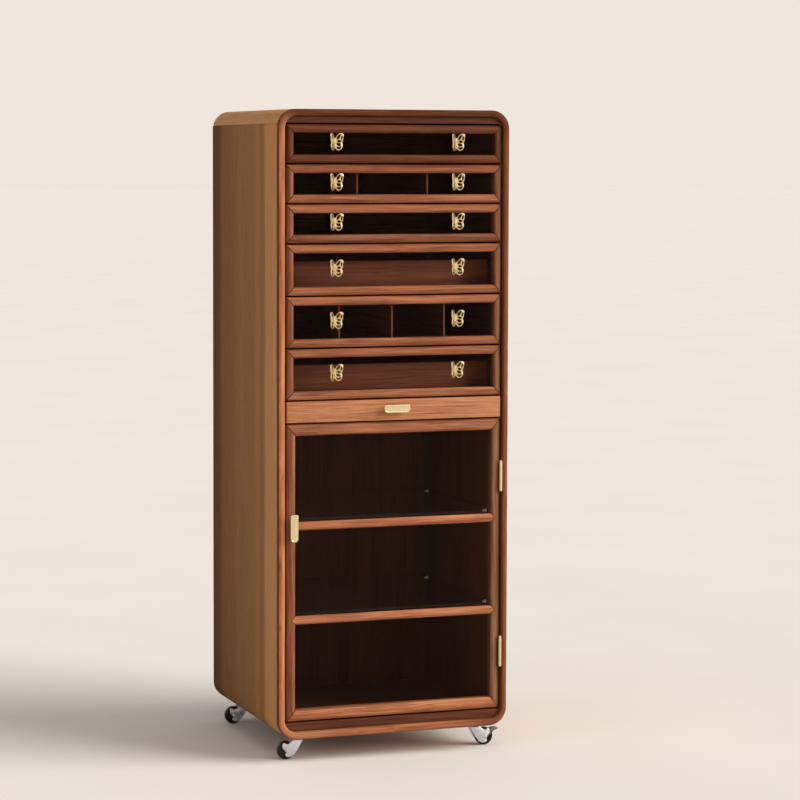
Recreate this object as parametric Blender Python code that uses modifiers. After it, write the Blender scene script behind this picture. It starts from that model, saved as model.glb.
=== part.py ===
"""Tall cabinet with six glazed drawers, a tray drawer and a glazed door, on four casters.

Metres, +Z up. The front faces -Y and +X is to the right, seen from the front.
The origin is on the floor, under the middle of the cabinet's bounding box.
"""
import math

import bmesh
import bpy
from mathutils import Matrix, Vector

# Fits
GAP = 0.0003
RUNNER_GAP = 0.0005
REVEAL = 0.003
SIDE_REVEAL = 0.0035
OVERRUN = 0.004
WELD = 0.000002

# Case
CASE_W = 0.500
CASE_D = 0.480
CASE_H = 1.284
BOARD = 0.015
CORNER_R = 0.038
RIM_D = 0.018
FRONT_SET = 0.004
RAIL_SET = 0.008
RAIL_D = 0.022
RAIL_TIE = 0.003
TOP_RAIL_H = 0.013
BOTTOM_RAIL_H = 0.019
BACK_T = 0.006
BACK_SET = 0.008
PARTITION_T = 0.012
PARTITION_DROP = 0.002

# Fronts
SMALL_DRAWER_H = 0.078
TALL_DRAWER_H = 0.103
TRAY_H = 0.043
FRAME_T = 0.020
FRAME_CROWN = 0.004
DRAWER_MEMBER = 0.0165
DOOR_MEMBER = 0.0215
DOOR_EDGE_R = 0.008
BAR_H = 0.016
BAR_SINK = 0.0001
BAR_BED = 0.0005
BAR_TENON = 0.012
GLASS_SET = 0.006
GLASS_T = 0.003
GROOVE_D = 0.005

# Drawer boxes
BOX_SIDE_GAP = 0.002
BOX_BACK_AIR = 0.0217
BOX_SIDE_T = 0.008
BOX_BOTTOM_T = 0.006
BOX_MARGIN = 0.009
TRAY_FRONT_T = 0.018
TRAY_MARGIN = 0.0065
CROSS_BOARD_SET = 0.036
CROSS_BOARD_DROP = 0.036
RUNNER_H = 0.008
RUNNER_REACH = 0.006
RUNNER_FRONT_SET = 0.040
RUNNER_BACK_SET = 0.040
GROOVE_STOP = 0.010
RUNNER_GROOVE_D = 0.0045

# Door compartment
SHELF_T = 0.005
SHELF_FRONT = 0.030
SHELF_SIDE_GAP = 0.001
SHELF_BACK_GAP = 0.002
PIN_D = 0.005
PIN_REACH = 0.008
PIN_ROOT = 0.002
PIN_LIFT = 0.005
PIN_FRONT_SET = 0.084
PIN_BACK_SET = 0.046
CATCH_SIDE_SET = 0.050
CATCH_W = 0.044
CATCH_D = 0.016
CATCH_H = 0.011
STRIKE_W = 0.036
STRIKE_H = 0.012
STRIKE_T = 0.0012
STRIKE_DROP = 0.006
CATCH_AIR = 0.0004

# Hinges
HINGE_H = 0.062
HINGE_INSET = 0.120
HINGE_FORWARD = 0.0005
KNUCKLE_R = 0.0033
KNUCKLE_SHARE = 0.54
HINGE_PIN_R = 0.0015
HINGE_PIN_AIR = 0.0004
HINGE_TIP_H = 0.002
HINGE_TIP_R = 0.0022
LEAF_T = 0.0012
LEAF_L = 0.0195
LEAF_CLEAR = 0.0007
LEAF_ROOT = 0.0024

# Butterfly pulls
PULL_SIDE_SET = 0.100
PULL_LIFT = 0.004
WING_REACH = 0.0212
WING_H = 0.0354
WING_T = 0.0014
WING_RISE = math.radians(47)
WING_ROOT = 0.0065
PULL_BODY_R = 0.0036
PULL_BODY_H = 0.0190
PULL_BODY_DROP = 0.0012
POST_R = 0.0026
FLANGE_R = 0.0050
FLANGE_T = 0.0015
BOLT_R = 0.0017
BOLT_HOLE_R = 0.0025
NUT_R = 0.0036
NUT_T = 0.0025

# Tab pulls
TAB_L = 0.057
TAB_H = 0.0184
TAB_T = 0.003
TAB_STAND = 0.0115
TAB_RIM = 0.0024
TAB_DISH = 0.001
TAB_POST_R = 0.003
TAB_POST_SHARE = 0.28
TRAY_PULL_LIFT = 0.003
DOOR_PULL_DROP = 0.003

# Casters
CASTER_H = 0.050
CASTER_SIDE_SET = 0.055
CASTER_FRONT_SET = 0.055
CASTER_BACK_SET = 0.045
CASTER_TRAIL = 0.024
WHEEL_R = 0.019
WHEEL_W = 0.0136
TREAD_W = 0.010
TREAD_DROP = 0.0015
WHEEL_BORE_R = 0.003
AXLE_R = 0.0026
AXLE_HEAD_R = 0.0042
AXLE_HEAD_T = 0.0008
FORK_W = 0.0214
FORK_PLATE_T = 0.0019
FORK_REACH = 0.036
FORK_H = 0.043
FORK_CROWN_T = 0.003
BEARING_R = 0.011
STEM_R = 0.004
STEM_L = 0.012
STEM_BORE_R = 0.0044
STEM_BORE_D = 0.013
BRAKE_REACH = 0.029
BRAKE_H = 0.0164
BRAKE_W = 0.0168
BRAKE_SLOT_W = 0.0142
BRAKE_SLOT_R = 0.0202

# Counts
CORNER_STEPS = 6
EDGE_STEPS = 3
BULLNOSE_STEPS = 8
TURN_STEPS = 12
FINE_STEPS = 8
WHEEL_STEPS = 24
TAB_STEPS = 6

# Wing outline and openings, as shares of the wing's reach and height from its root
WING_SHARES = (
    (0.02, 0.22), (0.16, 0.25), (0.29, 0.36), (0.50, 0.460), (0.74, 0.50), (0.93, 0.465),
    (1.00, 0.38), (0.95, 0.25), (0.93, 0.10), (0.82, -0.05), (0.88, -0.17), (0.88, -0.28),
    (0.77, -0.39), (0.42, -0.50), (0.24, -0.45), (0.11, -0.39), (0.02, -0.37),
)
WING_CELL_SHARES = (
    ((0.24, 0.155), (0.28, 0.235), (0.49, 0.370), (0.65, 0.395), (0.63, 0.31), (0.41, 0.165)),
    ((0.68, 0.135), (0.665, 0.235), (0.75, 0.300), (0.85, 0.265), (0.835, 0.16), (0.755, 0.11)),
    ((0.34, 0.045), (0.46, 0.105), (0.67, 0.085), (0.72, 0.040), (0.60, -0.015), (0.41, -0.012)),
    ((0.25, -0.090), (0.40, -0.070), (0.62, -0.115), (0.66, -0.20), (0.52, -0.225), (0.30, -0.175)),
    ((0.25, -0.275), (0.38, -0.315), (0.53, -0.300), (0.71, -0.255), (0.69, -0.345), (0.47, -0.40)),
)
# Fork side, as shares of its reach behind the stem and of its height over the floor
FORK_SHARES = (
    (-0.25, 1.00), (0.28, 1.00), (0.31, 0.83), (0.50, 0.69), (0.72, 0.61), (0.94, 0.64),
    (1.00, 0.53), (0.94, 0.36), (0.79, 0.32), (0.70, 0.28), (0.75, 0.20), (0.69, 0.14),
    (0.47, 0.14), (0.25, 0.23), (0.03, 0.47), (-0.17, 0.77), (-0.25, 0.88),
)
# Brake lever side, as shares of its reach and rise from the axle
BRAKE_SHARES = (
    (-0.19, 0.12), (-0.19, -0.12), (-0.07, -0.32), (0.10, -0.32), (0.69, 0.64), (1.00, 0.86),
    (1.00, 1.00), (0.59, 1.00), (-0.10, 0.34),
)

# Places that follow from the sizes
HALF_W = CASE_W / 2
INNER_R = CORNER_R - BOARD
OPENING_HALF = HALF_W - BOARD
FRONT_W = 2 * (OPENING_HALF - SIDE_REVEAL)
AXLE_H = WHEEL_R * math.cos(math.pi / WHEEL_STEPS)
WING_LEAN = WING_REACH * math.sin(WING_RISE) + WING_T / 2 * math.cos(WING_RISE)
PULL_REACH = WING_ROOT + WING_LEAN - FRONT_SET - GLASS_SET
FRONT_Y = (PULL_REACH - CASE_D) / 2
BODY_Y = FRONT_Y + RIM_D + GAP
BACK_Y = FRONT_Y + CASE_D
BACK_PANEL_Y = BACK_Y - BACK_SET - BACK_T
FACE_Y = FRONT_Y + FRONT_SET
BOX_Y = FACE_Y + FRAME_T + GAP
BOX_W = 2 * (OPENING_HALF - BOX_SIDE_GAP)
BOX_L = BACK_PANEL_Y - BOX_Y - BOX_BACK_AIR
PULL_X = FRONT_W / 2 - PULL_SIDE_SET
CATCH_X = CATCH_SIDE_SET - OPENING_HALF
CASTER_X = HALF_W - CASTER_SIDE_SET
BASE_Z = CASTER_H
TOP_Z = BASE_Z + CASE_H
DRAWER_HEIGHTS = (SMALL_DRAWER_H,) * 3 + (TALL_DRAWER_H,) * 3
DRAWERS_LOW_Z = (TOP_Z - BOARD - TOP_RAIL_H - sum(DRAWER_HEIGHTS)
                 - len(DRAWER_HEIGHTS) * REVEAL)
DOOR_LOW_Z = BASE_Z + BOARD + BOTTOM_RAIL_H + REVEAL
DOOR_TOP_Z = DRAWERS_LOW_Z - REVEAL - TRAY_H - REVEAL
DOOR_H = DOOR_TOP_Z - DOOR_LOW_Z
DOOR_PANE_H = (DOOR_H - 2 * DOOR_MEMBER - 2 * BAR_H) / 3
BAR_CENTRES = tuple(
    DOOR_LOW_Z + DOOR_MEMBER + n * DOOR_PANE_H + (n - 0.5) * BAR_H for n in (1, 2))
TRAY_LOW_Z = DOOR_TOP_Z + REVEAL
PARTITION_TOP_Z = TRAY_LOW_Z + TRAY_MARGIN - PARTITION_DROP
HINGE_X = OPENING_HALF - SIDE_REVEAL / 2
HINGE_Y = FRONT_Y + HINGE_FORWARD
DIVIDERS = {2: 2, 5: 3}
CROSS_BOARDS = (4, 6)


def collection(name):
    made = bpy.data.collections.new(name)
    bpy.context.scene.collection.children.link(made)
    return made


for old in list(bpy.data.objects):
    bpy.data.objects.remove(old, do_unlink=True)
CABINET = collection("cabinet")
CUTTERS = collection("cutters")


def material(name, colour, roughness, metallic=0.0, alpha=1.0):
    made = bpy.data.materials.new(name)
    made.use_nodes = True
    shader = made.node_tree.nodes["Principled BSDF"]
    shader.inputs["Base Color"].default_value = (*colour, 1.0)
    shader.inputs["Roughness"].default_value = roughness
    shader.inputs["Metallic"].default_value = metallic
    shader.inputs["Alpha"].default_value = alpha
    return made


CASE_WOOD = material("case_wood", (0.205, 0.115, 0.053), 0.45)
FRONT_WOOD = material("front_wood", (0.305, 0.102, 0.045), 0.40)
TRAY_WOOD = material("tray_wood", (0.515, 0.205, 0.091), 0.40)
INNER_WOOD = material("inner_wood", (0.127, 0.037, 0.019), 0.60)
GLASS = material("glass", (0.60, 0.66, 0.64), 0.05, alpha=0.25)
BRASS = material("brass", (0.775, 0.604, 0.352), 0.30, metallic=1.0)
ZINC = material("zinc", (0.545, 0.515, 0.515), 0.35, metallic=1.0)
BLACK_WHEEL = material("black_wheel", (0.017, 0.013, 0.014), 0.50)
STEEL = material("steel", (0.45, 0.45, 0.45), 0.35, metallic=1.0)


def mesh_from(name, bm):
    bmesh.ops.recalc_face_normals(bm, faces=bm.faces)
    mesh = bpy.data.meshes.new(name)
    bm.to_mesh(mesh)
    bm.free()
    return mesh


def piece(name, mesh, finish, at=(0.0, 0.0, 0.0), round_shape=False):
    """A finished piece, with its origin at the given place."""
    made = bpy.data.objects.new(name, mesh)
    made.location = at
    if not mesh.materials:
        mesh.materials.append(finish)
    for face in mesh.polygons:
        face.use_smooth = round_shape
    CABINET.objects.link(made)
    return made


def cutter(name, mesh, at=(0.0, 0.0, 0.0)):
    made = bpy.data.objects.new(name, mesh)
    made.location = at
    made.display_type = "WIRE"
    made.hide_render = True
    CUTTERS.objects.link(made)
    return made


def boolean(target, tool, operation):
    mod = target.modifiers.new(tool.name, "BOOLEAN")
    mod.operation = operation
    mod.solver = "EXACT"
    mod.object = tool


def join(target, tool):
    boolean(target, tool, "UNION")


def cut(target, tool):
    boolean(target, tool, "DIFFERENCE")


def rounded(target, width, segments):
    mod = target.modifiers.new("edges", "BEVEL")
    mod.width = width
    mod.segments = segments
    mod.limit_method = "ANGLE"


def box_mesh(name, boxes):
    """One mesh of separate boxes, each given by its lowest and highest corner."""
    bm = bmesh.new()
    for low, high in boxes:
        low, high = Vector(low), Vector(high)
        made = bmesh.ops.create_cube(bm, size=1.0)["verts"]
        bmesh.ops.scale(bm, vec=high - low, verts=made)
        bmesh.ops.translate(bm, vec=(high + low) / 2, verts=made)
    return mesh_from(name, bm)


def block(name, size, finish, at):
    """A board with its origin at its centre."""
    half = Vector(size) / 2
    return piece(name, box_mesh(name, [(-half, half)]), finish, at)


def flat_mesh(name, loops, thickness, turn):
    """A flat sheet with the first loop as outline and the others as openings."""
    curve = bpy.data.curves.new(name, "CURVE")
    curve.dimensions = "2D"
    curve.fill_mode = "BOTH"
    curve.extrude = thickness / 2
    for loop in loops:
        spline = curve.splines.new("POLY")
        spline.points.add(len(loop) - 1)
        for point, (u, v) in zip(spline.points, loop):
            point.co = (u, v, 0.0, 1.0)
        spline.use_cyclic_u = True
    drawn = bpy.data.objects.new(name, curve)
    CUTTERS.objects.link(drawn)
    bpy.context.view_layer.update()
    raw = bpy.data.meshes.new_from_object(drawn)
    bpy.data.objects.remove(drawn, do_unlink=True)
    bm = bmesh.new()
    bm.from_mesh(raw)
    bpy.data.meshes.remove(raw)
    bmesh.ops.remove_doubles(bm, verts=bm.verts, dist=WELD)
    bmesh.ops.transform(bm, matrix=turn, verts=bm.verts)
    return mesh_from(name, bm)


UPRIGHT_X = Matrix.Rotation(math.radians(90), 4, "X")
UPRIGHT_Y = Matrix.Rotation(math.radians(90), 4, "Z") @ UPRIGHT_X


def turned_mesh(name, profile, steps, turn=Matrix.Identity(4), bored=False, shift=0.0):
    """Turn (radius, height) points round the Z axis, then lay the axis where it belongs."""
    bm = bmesh.new()
    start = Matrix.Rotation(shift, 4, "Z")
    verts = [bm.verts.new(start @ Vector((radius, 0.0, height))) for radius, height in profile]
    pairs = list(zip(verts, verts[1:]))
    if bored:
        pairs.append((verts[-1], verts[0]))
    edges = [bm.edges.new(pair) for pair in pairs]
    bmesh.ops.spin(bm, geom=verts + edges, cent=(0.0, 0.0, 0.0), axis=(0.0, 0.0, 1.0),
                   angle=2 * math.pi, steps=steps, use_merge=True)
    bmesh.ops.remove_doubles(bm, verts=bm.verts, dist=WELD)
    bmesh.ops.transform(bm, matrix=turn, verts=bm.verts)
    return mesh_from(name, bm)


def ring_mesh(name, profile, width, height, corner, steps):
    """Run an (inset, depth) profile round an upright rounded rectangle, front at depth 0."""
    bm = bmesh.new()
    half_step = math.pi / 4 / steps
    spread = 1 / math.cos(half_step)
    start = Matrix.Rotation(-half_step, 4, "Y")
    verts = [bm.verts.new(start @ Vector(((corner - inset) * spread, depth, 0.0)))
             for inset, depth in profile]
    edges = [bm.edges.new(pair) for pair in zip(verts, verts[1:] + verts[:1])]
    bmesh.ops.spin(bm, geom=verts + edges, cent=(0.0, 0.0, 0.0), axis=(0.0, 1.0, 0.0),
                   angle=2 * math.pi, steps=4 * steps, use_merge=True)
    bmesh.ops.remove_doubles(bm, verts=bm.verts, dist=WELD)
    for vert in bm.verts:
        vert.co.x += math.copysign(width / 2 - corner, vert.co.x)
        vert.co.z += math.copysign(height / 2 - corner, vert.co.z)
    return mesh_from(name, bm)


def prism_mesh(name, profile, length):
    """Run an upright (height, depth) profile along X."""
    bm = bmesh.new()
    face = bm.faces.new([bm.verts.new((-length / 2, depth, height)) for height, depth in profile])
    made = bmesh.ops.extrude_face_region(bm, geom=[face])["geom"]
    verts = [item for item in made if isinstance(item, bmesh.types.BMVert)]
    bmesh.ops.translate(bm, vec=(length, 0.0, 0.0), verts=verts)
    return mesh_from(name, bm)


def arc(centre, radius, first, last, steps):
    """Points on an arc, with its angles in degrees."""
    points = []
    for n in range(steps + 1):
        angle = math.radians(first + (last - first) * n / steps)
        points.append((centre[0] + radius * math.cos(angle), centre[1] + radius * math.sin(angle)))
    return points


def rounded_rectangle(width, height, radius):
    points = []
    for turn, side_x, side_z in ((0, 1, 1), (90, -1, 1), (180, -1, -1), (270, 1, -1)):
        centre = (side_x * (width / 2 - radius), side_z * (height / 2 - radius))
        points += arc(centre, radius, turn, turn + 90, CORNER_STEPS)
    return points


def crowned_edge(width, edge):
    """(distance, depth) points over a moulding that is rounded at both sides."""
    rise = []
    for n in range(EDGE_STEPS + 1):
        angle = math.radians(90) * n / EDGE_STEPS
        rise.append((edge * (1 - math.cos(angle)), FRAME_CROWN * (1 - math.sin(angle))))
    fall = [(width - distance, depth) for distance, depth in reversed(rise)]
    return rise + fall[1:] if edge * 2 >= width else rise + fall


def build_cap(name, low_side, rail_h):
    """Top or bottom board with both rounded corners and the recessed front rail."""
    centre_x = HALF_W - CORNER_R
    outline = (arc((-centre_x, CORNER_R), CORNER_R, 180, 270, CORNER_STEPS)
               + arc((centre_x, CORNER_R), CORNER_R, 270, 360, CORNER_STEPS)
               + arc((centre_x, CORNER_R), INNER_R, 360, 270, CORNER_STEPS)
               + arc((-centre_x, CORNER_R), INNER_R, 270, 180, CORNER_STEPS))
    bed_r = INNER_R - GAP
    rail_edge = BOARD + rail_h
    lean = math.degrees(math.asin((CORNER_R - rail_edge) / bed_r))
    rail = (arc((-centre_x, CORNER_R), bed_r, 180 + lean, 270, CORNER_STEPS)
            + arc((centre_x, CORNER_R), bed_r, 270, 360 - lean, CORNER_STEPS))
    turn = UPRIGHT_X
    floor_z = BASE_Z
    if not low_side:
        turn = Matrix.Scale(-1, 4, (0.0, 0.0, 1.0)) @ UPRIGHT_X
        floor_z = TOP_Z
    depth = BACK_Y - BODY_Y
    cap = piece(name, flat_mesh(name, [outline], depth, turn), CASE_WOOD,
                (0.0, BODY_Y + depth / 2, floor_z))
    rail_y = FRONT_Y + RAIL_SET
    join(cap, cutter(name + "_rail", flat_mesh(name + "_rail", [rail], RAIL_D, turn),
                     (0.0, rail_y + RAIL_D / 2, floor_z)))
    inward = 1 if low_side else -1
    ends = sorted((floor_z + inward * (BOARD - RAIL_TIE), floor_z + inward * (BOARD + RAIL_TIE)))
    tie = box_mesh(name + "_tie", [((-centre_x, BODY_Y + GAP, ends[0]),
                                    (centre_x, rail_y + RAIL_D - GAP, ends[1]))])
    join(cap, cutter(name + "_tie", tie))
    return cap


def build_side(name, side):
    """Side board with drawer runners and shelf pins on its inner face."""
    height = CASE_H - 2 * (CORNER_R + GAP)
    depth = BACK_Y - BODY_Y
    board = block(name, (BOARD, depth, height), CASE_WOOD,
                  (side * (HALF_W - BOARD / 2), BODY_Y + depth / 2, BASE_Z + CASE_H / 2))
    root = side * (OPENING_HALF + PIN_ROOT)
    tip = side * (OPENING_HALF - RUNNER_REACH)
    runners = []
    for centre_z in RUNNER_CENTRES:
        low = (min(root, tip), FRONT_Y + RUNNER_FRONT_SET, centre_z - RUNNER_H / 2)
        high = (max(root, tip), BACK_Y - RUNNER_BACK_SET, centre_z + RUNNER_H / 2)
        runners.append((low, high))
    join(board, cutter(name + "_runners", box_mesh(name + "_runners", runners)))
    length = PIN_REACH + PIN_ROOT
    profile = ((0.0, -length / 2), (PIN_D / 2, -length / 2), (PIN_D / 2, length / 2),
               (0.0, length / 2))
    across = Matrix.Rotation(math.radians(90), 4, "Y")
    pin_mesh = turned_mesh("shelf_pin", profile, FINE_STEPS, across)
    for n, bar_z in enumerate(BAR_CENTRES):
        for m, pin_y in enumerate((FRONT_Y + PIN_FRONT_SET, BACK_Y - PIN_BACK_SET)):
            place = (side * (OPENING_HALF + PIN_ROOT - length / 2), pin_y,
                     bar_z + PIN_LIFT)
            join(board, cutter(f"{name}_pin_{n}_{m}", pin_mesh, place))
    return board


def build_case():
    build_cap("top_cap", False, TOP_RAIL_H)
    bottom = build_cap("bottom_cap", True, BOTTOM_RAIL_H)
    low = BASE_Z - OVERRUN
    profile = ((0.0, low), (STEM_BORE_R, low), (STEM_BORE_R, BASE_Z + STEM_BORE_D),
               (0.0, BASE_Z + STEM_BORE_D))
    bore_mesh = turned_mesh("stem_bore", profile, TURN_STEPS)
    for name, x, y, _ in CASTERS:
        cut(bottom, cutter(name + "_bore", bore_mesh, (x, y, 0.0)))
    build_side("left_side", -1)
    build_side("right_side", 1)

    bulge = BOARD / 2
    profile = [(bulge - x, bulge - y)
               for x, y in arc((0.0, 0.0), bulge, 0, 180, BULLNOSE_STEPS)]
    profile += [(BOARD, RIM_D), (0.0, RIM_D)]
    piece("front_rim", ring_mesh("front_rim", profile, CASE_W, CASE_H, CORNER_R, CORNER_STEPS),
          FRONT_WOOD, (0.0, FRONT_Y, BASE_Z + CASE_H / 2))

    inner_w = 2 * (OPENING_HALF - GAP)
    inner_h = CASE_H - 2 * (BOARD + GAP)
    outline = rounded_rectangle(inner_w, inner_h, INNER_R - GAP)
    piece("back_panel", flat_mesh("back_panel", [outline], BACK_T, UPRIGHT_X), CASE_WOOD,
          (0.0, BACK_PANEL_Y + BACK_T / 2, BASE_Z + CASE_H / 2))

    front = BOX_Y + REVEAL
    depth = BACK_PANEL_Y - GAP - front
    block("partition", (inner_w, depth, PARTITION_T), CASE_WOOD,
          (0.0, front + depth / 2, PARTITION_TOP_Z - PARTITION_T / 2))

    shelf_y = FRONT_Y + SHELF_FRONT
    shelf_d = BACK_PANEL_Y - SHELF_BACK_GAP - shelf_y
    for name, bar_z in zip(("shelf_lower", "shelf_upper"), BAR_CENTRES):
        low_z = bar_z + PIN_LIFT + PIN_D / 2 + GAP
        block(name, (2 * (OPENING_HALF - SHELF_SIDE_GAP), shelf_d, SHELF_T), GLASS,
              (0.0, shelf_y + shelf_d / 2, low_z + SHELF_T / 2))

    catch_y = FACE_Y + FRAME_T + GAP + STRIKE_T + CATCH_AIR
    catch_top = PARTITION_TOP_Z - PARTITION_T - GAP
    catch = block("catch_magnet", (CATCH_W, CATCH_D, CATCH_H), STEEL,
                  (CATCH_X, catch_y + CATCH_D / 2, catch_top - CATCH_H / 2))
    rounded(catch, STRIKE_T, 1)


def drawer_profile(member, edge):
    """Moulding section with the glass groove, as (inset, depth) points."""
    groove_front = GLASS_SET - GAP
    groove_back = GLASS_SET + GLASS_T + GAP
    return crowned_edge(member, edge) + [
        (member, groove_front), (member - GROOVE_D, groove_front),
        (member - GROOVE_D, groove_back), (member, groove_back),
        (member, FRAME_T), (0.0, FRAME_T)]


def circle(centre, radius, steps):
    return arc(centre, radius, 0, 360 - 360 / steps, steps - 1)


def build_pane(name, front_h, member, centre_z, bolt_z=None):
    width = FRONT_W - 2 * (member - GROOVE_D + GAP)
    height = front_h - 2 * (member - GROOVE_D + GAP)
    if bolt_z is None:
        return block(name, (width, GLASS_T, height), GLASS,
                     (0.0, FACE_Y + GLASS_SET + GLASS_T / 2, centre_z))
    corners = [(width / 2, height / 2), (-width / 2, height / 2),
               (-width / 2, -height / 2), (width / 2, -height / 2)]
    holes = [circle((side * PULL_X, bolt_z), BOLT_HOLE_R, FINE_STEPS) for side in (-1, 1)]
    return piece(name, flat_mesh(name, [corners] + holes, GLASS_T, UPRIGHT_X), GLASS,
                 (0.0, FACE_Y + GLASS_SET + GLASS_T / 2, centre_z))


def runner_grooves(name, target, low_y, high_y, centre_z):
    outer = BOX_W / 2
    half_h = RUNNER_H / 2 + RUNNER_GAP
    spans = []
    for side in (-1, 1):
        ends = sorted((side * (outer - RUNNER_GROOVE_D), side * (outer + OVERRUN)))
        spans.append(((ends[0], low_y, centre_z - half_h), (ends[1], high_y, centre_z + half_h)))
    cut(target, cutter(name + "_grooves", box_mesh(name + "_grooves", spans)))


def build_drawer(number, low_z, front_h, pull_mesh):
    """Mitred glazed front, pane, box and two bolted pulls."""
    name = f"drawer_{number}"
    centre_z = low_z + front_h / 2
    profile = drawer_profile(DRAWER_MEMBER, DRAWER_MEMBER / 2)
    mesh = ring_mesh(name + "_frame", profile, FRONT_W, front_h, front_h / 2, 1)
    piece(name + "_frame", mesh, FRONT_WOOD, (0.0, FACE_Y, centre_z))
    build_pane(name + "_glass", front_h, DRAWER_MEMBER, centre_z, PULL_LIFT)

    box_low, box_high = low_z + BOX_MARGIN, low_z + front_h - BOX_MARGIN
    box_end = BOX_Y + BOX_L
    box = block(name + "_box", (BOX_W, BOX_L, box_high - box_low), INNER_WOOD,
                (0.0, BOX_Y + BOX_L / 2, centre_z))
    inner = BOX_W / 2 - BOX_SIDE_T
    floor_z = box_low + BOX_BOTTOM_T
    top = box_high + OVERRUN
    cells = DIVIDERS.get(number, 0) + 1
    cell_w = (2 * inner - (cells - 1) * BOX_SIDE_T) / cells
    front, back = BOX_Y - OVERRUN, box_end - BOX_SIDE_T
    rooms = []
    if number in CROSS_BOARDS:
        board_y = BOX_Y + CROSS_BOARD_SET
        board_top = low_z + front_h - CROSS_BOARD_DROP
        rooms.append(((-inner, front, floor_z), (inner, board_y, top)))
        rooms.append(((-inner, board_y + BOX_SIDE_T, floor_z), (inner, back, top)))
        bridge = ((-inner + GAP, board_y - OVERRUN, board_top),
                  (inner - GAP, board_y + BOX_SIDE_T + OVERRUN, top + OVERRUN))
    else:
        for cell in range(cells):
            left = -inner + cell * (cell_w + BOX_SIDE_T)
            rooms.append(((left, front, floor_z), (left + cell_w, back, top)))
    cut(box, cutter(name + "_rooms", box_mesh(name + "_rooms", rooms)))
    if number in CROSS_BOARDS:
        cut(box, cutter(name + "_bridge", box_mesh(name + "_bridge", [bridge])))
    runner_grooves(name, box, BOX_Y + GROOVE_STOP, box_end + OVERRUN, centre_z)
    for side, label in ((-1, "left"), (1, "right")):
        piece(f"{name}_pull_{label}", pull_mesh, BRASS,
              (side * PULL_X, FACE_Y + GLASS_SET, centre_z + PULL_LIFT))


def build_tray():
    """Plain front and shallow box in one piece, with its tab pull."""
    centre_z = TRAY_LOW_Z + TRAY_H / 2
    box_end = BOX_Y + BOX_L
    tray = block("tray_drawer", (FRONT_W, TRAY_FRONT_T, TRAY_H), TRAY_WOOD,
                 (0.0, FACE_Y + TRAY_FRONT_T / 2, centre_z))
    rounded(tray, FRAME_CROWN / 2, 2)
    low, high = TRAY_LOW_Z + TRAY_MARGIN, TRAY_LOW_Z + TRAY_H - TRAY_MARGIN
    start = FACE_Y + TRAY_FRONT_T - OVERRUN
    join(tray, cutter("tray_body", box_mesh("tray_body", [
        ((-BOX_W / 2 + SIDE_REVEAL, start, low), (BOX_W / 2 - SIDE_REVEAL, BOX_Y, high)),
    ])))
    join(tray, cutter("tray_sides", box_mesh("tray_sides", [
        ((-BOX_W / 2, BOX_Y - GAP, low), (BOX_W / 2, box_end, high)),
    ])))
    inner = BOX_W / 2 - BOX_SIDE_T
    cut(tray, cutter("tray_room", box_mesh("tray_room", [
        ((-inner, FACE_Y + TRAY_FRONT_T, low + BOX_BOTTOM_T),
         (inner, box_end - BOX_SIDE_T, high + OVERRUN)),
    ])))
    runner_grooves("tray", tray, BOX_Y + GROOVE_STOP, box_end + OVERRUN, centre_z)
    tab_pull("tray_pull", True, (0.0, FACE_Y, centre_z + TRAY_PULL_LIFT))


def stadium(length, height):
    centre = (length - height) / 2
    return (arc((centre, 0.0), height / 2, -90, 90, TAB_STEPS)
            + arc((-centre, 0.0), height / 2, 90, 270, TAB_STEPS))


def tab_pull(name, level, at):
    """Rounded plate with a raised rim, on two short posts."""
    turn = UPRIGHT_X if level else Matrix.Rotation(math.radians(90), 4, "Y") @ UPRIGHT_X
    plate_y = -GAP - TAB_STAND - TAB_T / 2
    place = Vector(at)
    mesh = flat_mesh(name, [stadium(TAB_L, TAB_H)], TAB_T, turn)
    mesh.transform(Matrix.Translation((0.0, plate_y, 0.0)))
    pull = piece(name, mesh, BRASS, place)
    dish = flat_mesh(name + "_dish", [stadium(TAB_L - 2 * TAB_RIM, TAB_H - 2 * TAB_RIM)],
                     2 * TAB_DISH, turn)
    cut(pull, cutter(name + "_dish", dish, place + Vector((0.0, plate_y - TAB_T / 2, 0.0))))
    length = TAB_STAND + TAB_T / 2
    profile = ((0.0, 0.0), (TAB_POST_R, 0.0), (TAB_POST_R, length), (0.0, length))
    post_mesh = turned_mesh(name + "_post", profile, TURN_STEPS, UPRIGHT_X)
    for side in (-1, 1):
        reach = side * TAB_POST_SHARE * TAB_L
        offset = Vector((reach, -GAP, 0.0)) if level else Vector((0.0, -GAP, reach))
        join(pull, cutter(f"{name}_post_{side}", post_mesh, place + offset))
    return pull


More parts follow.
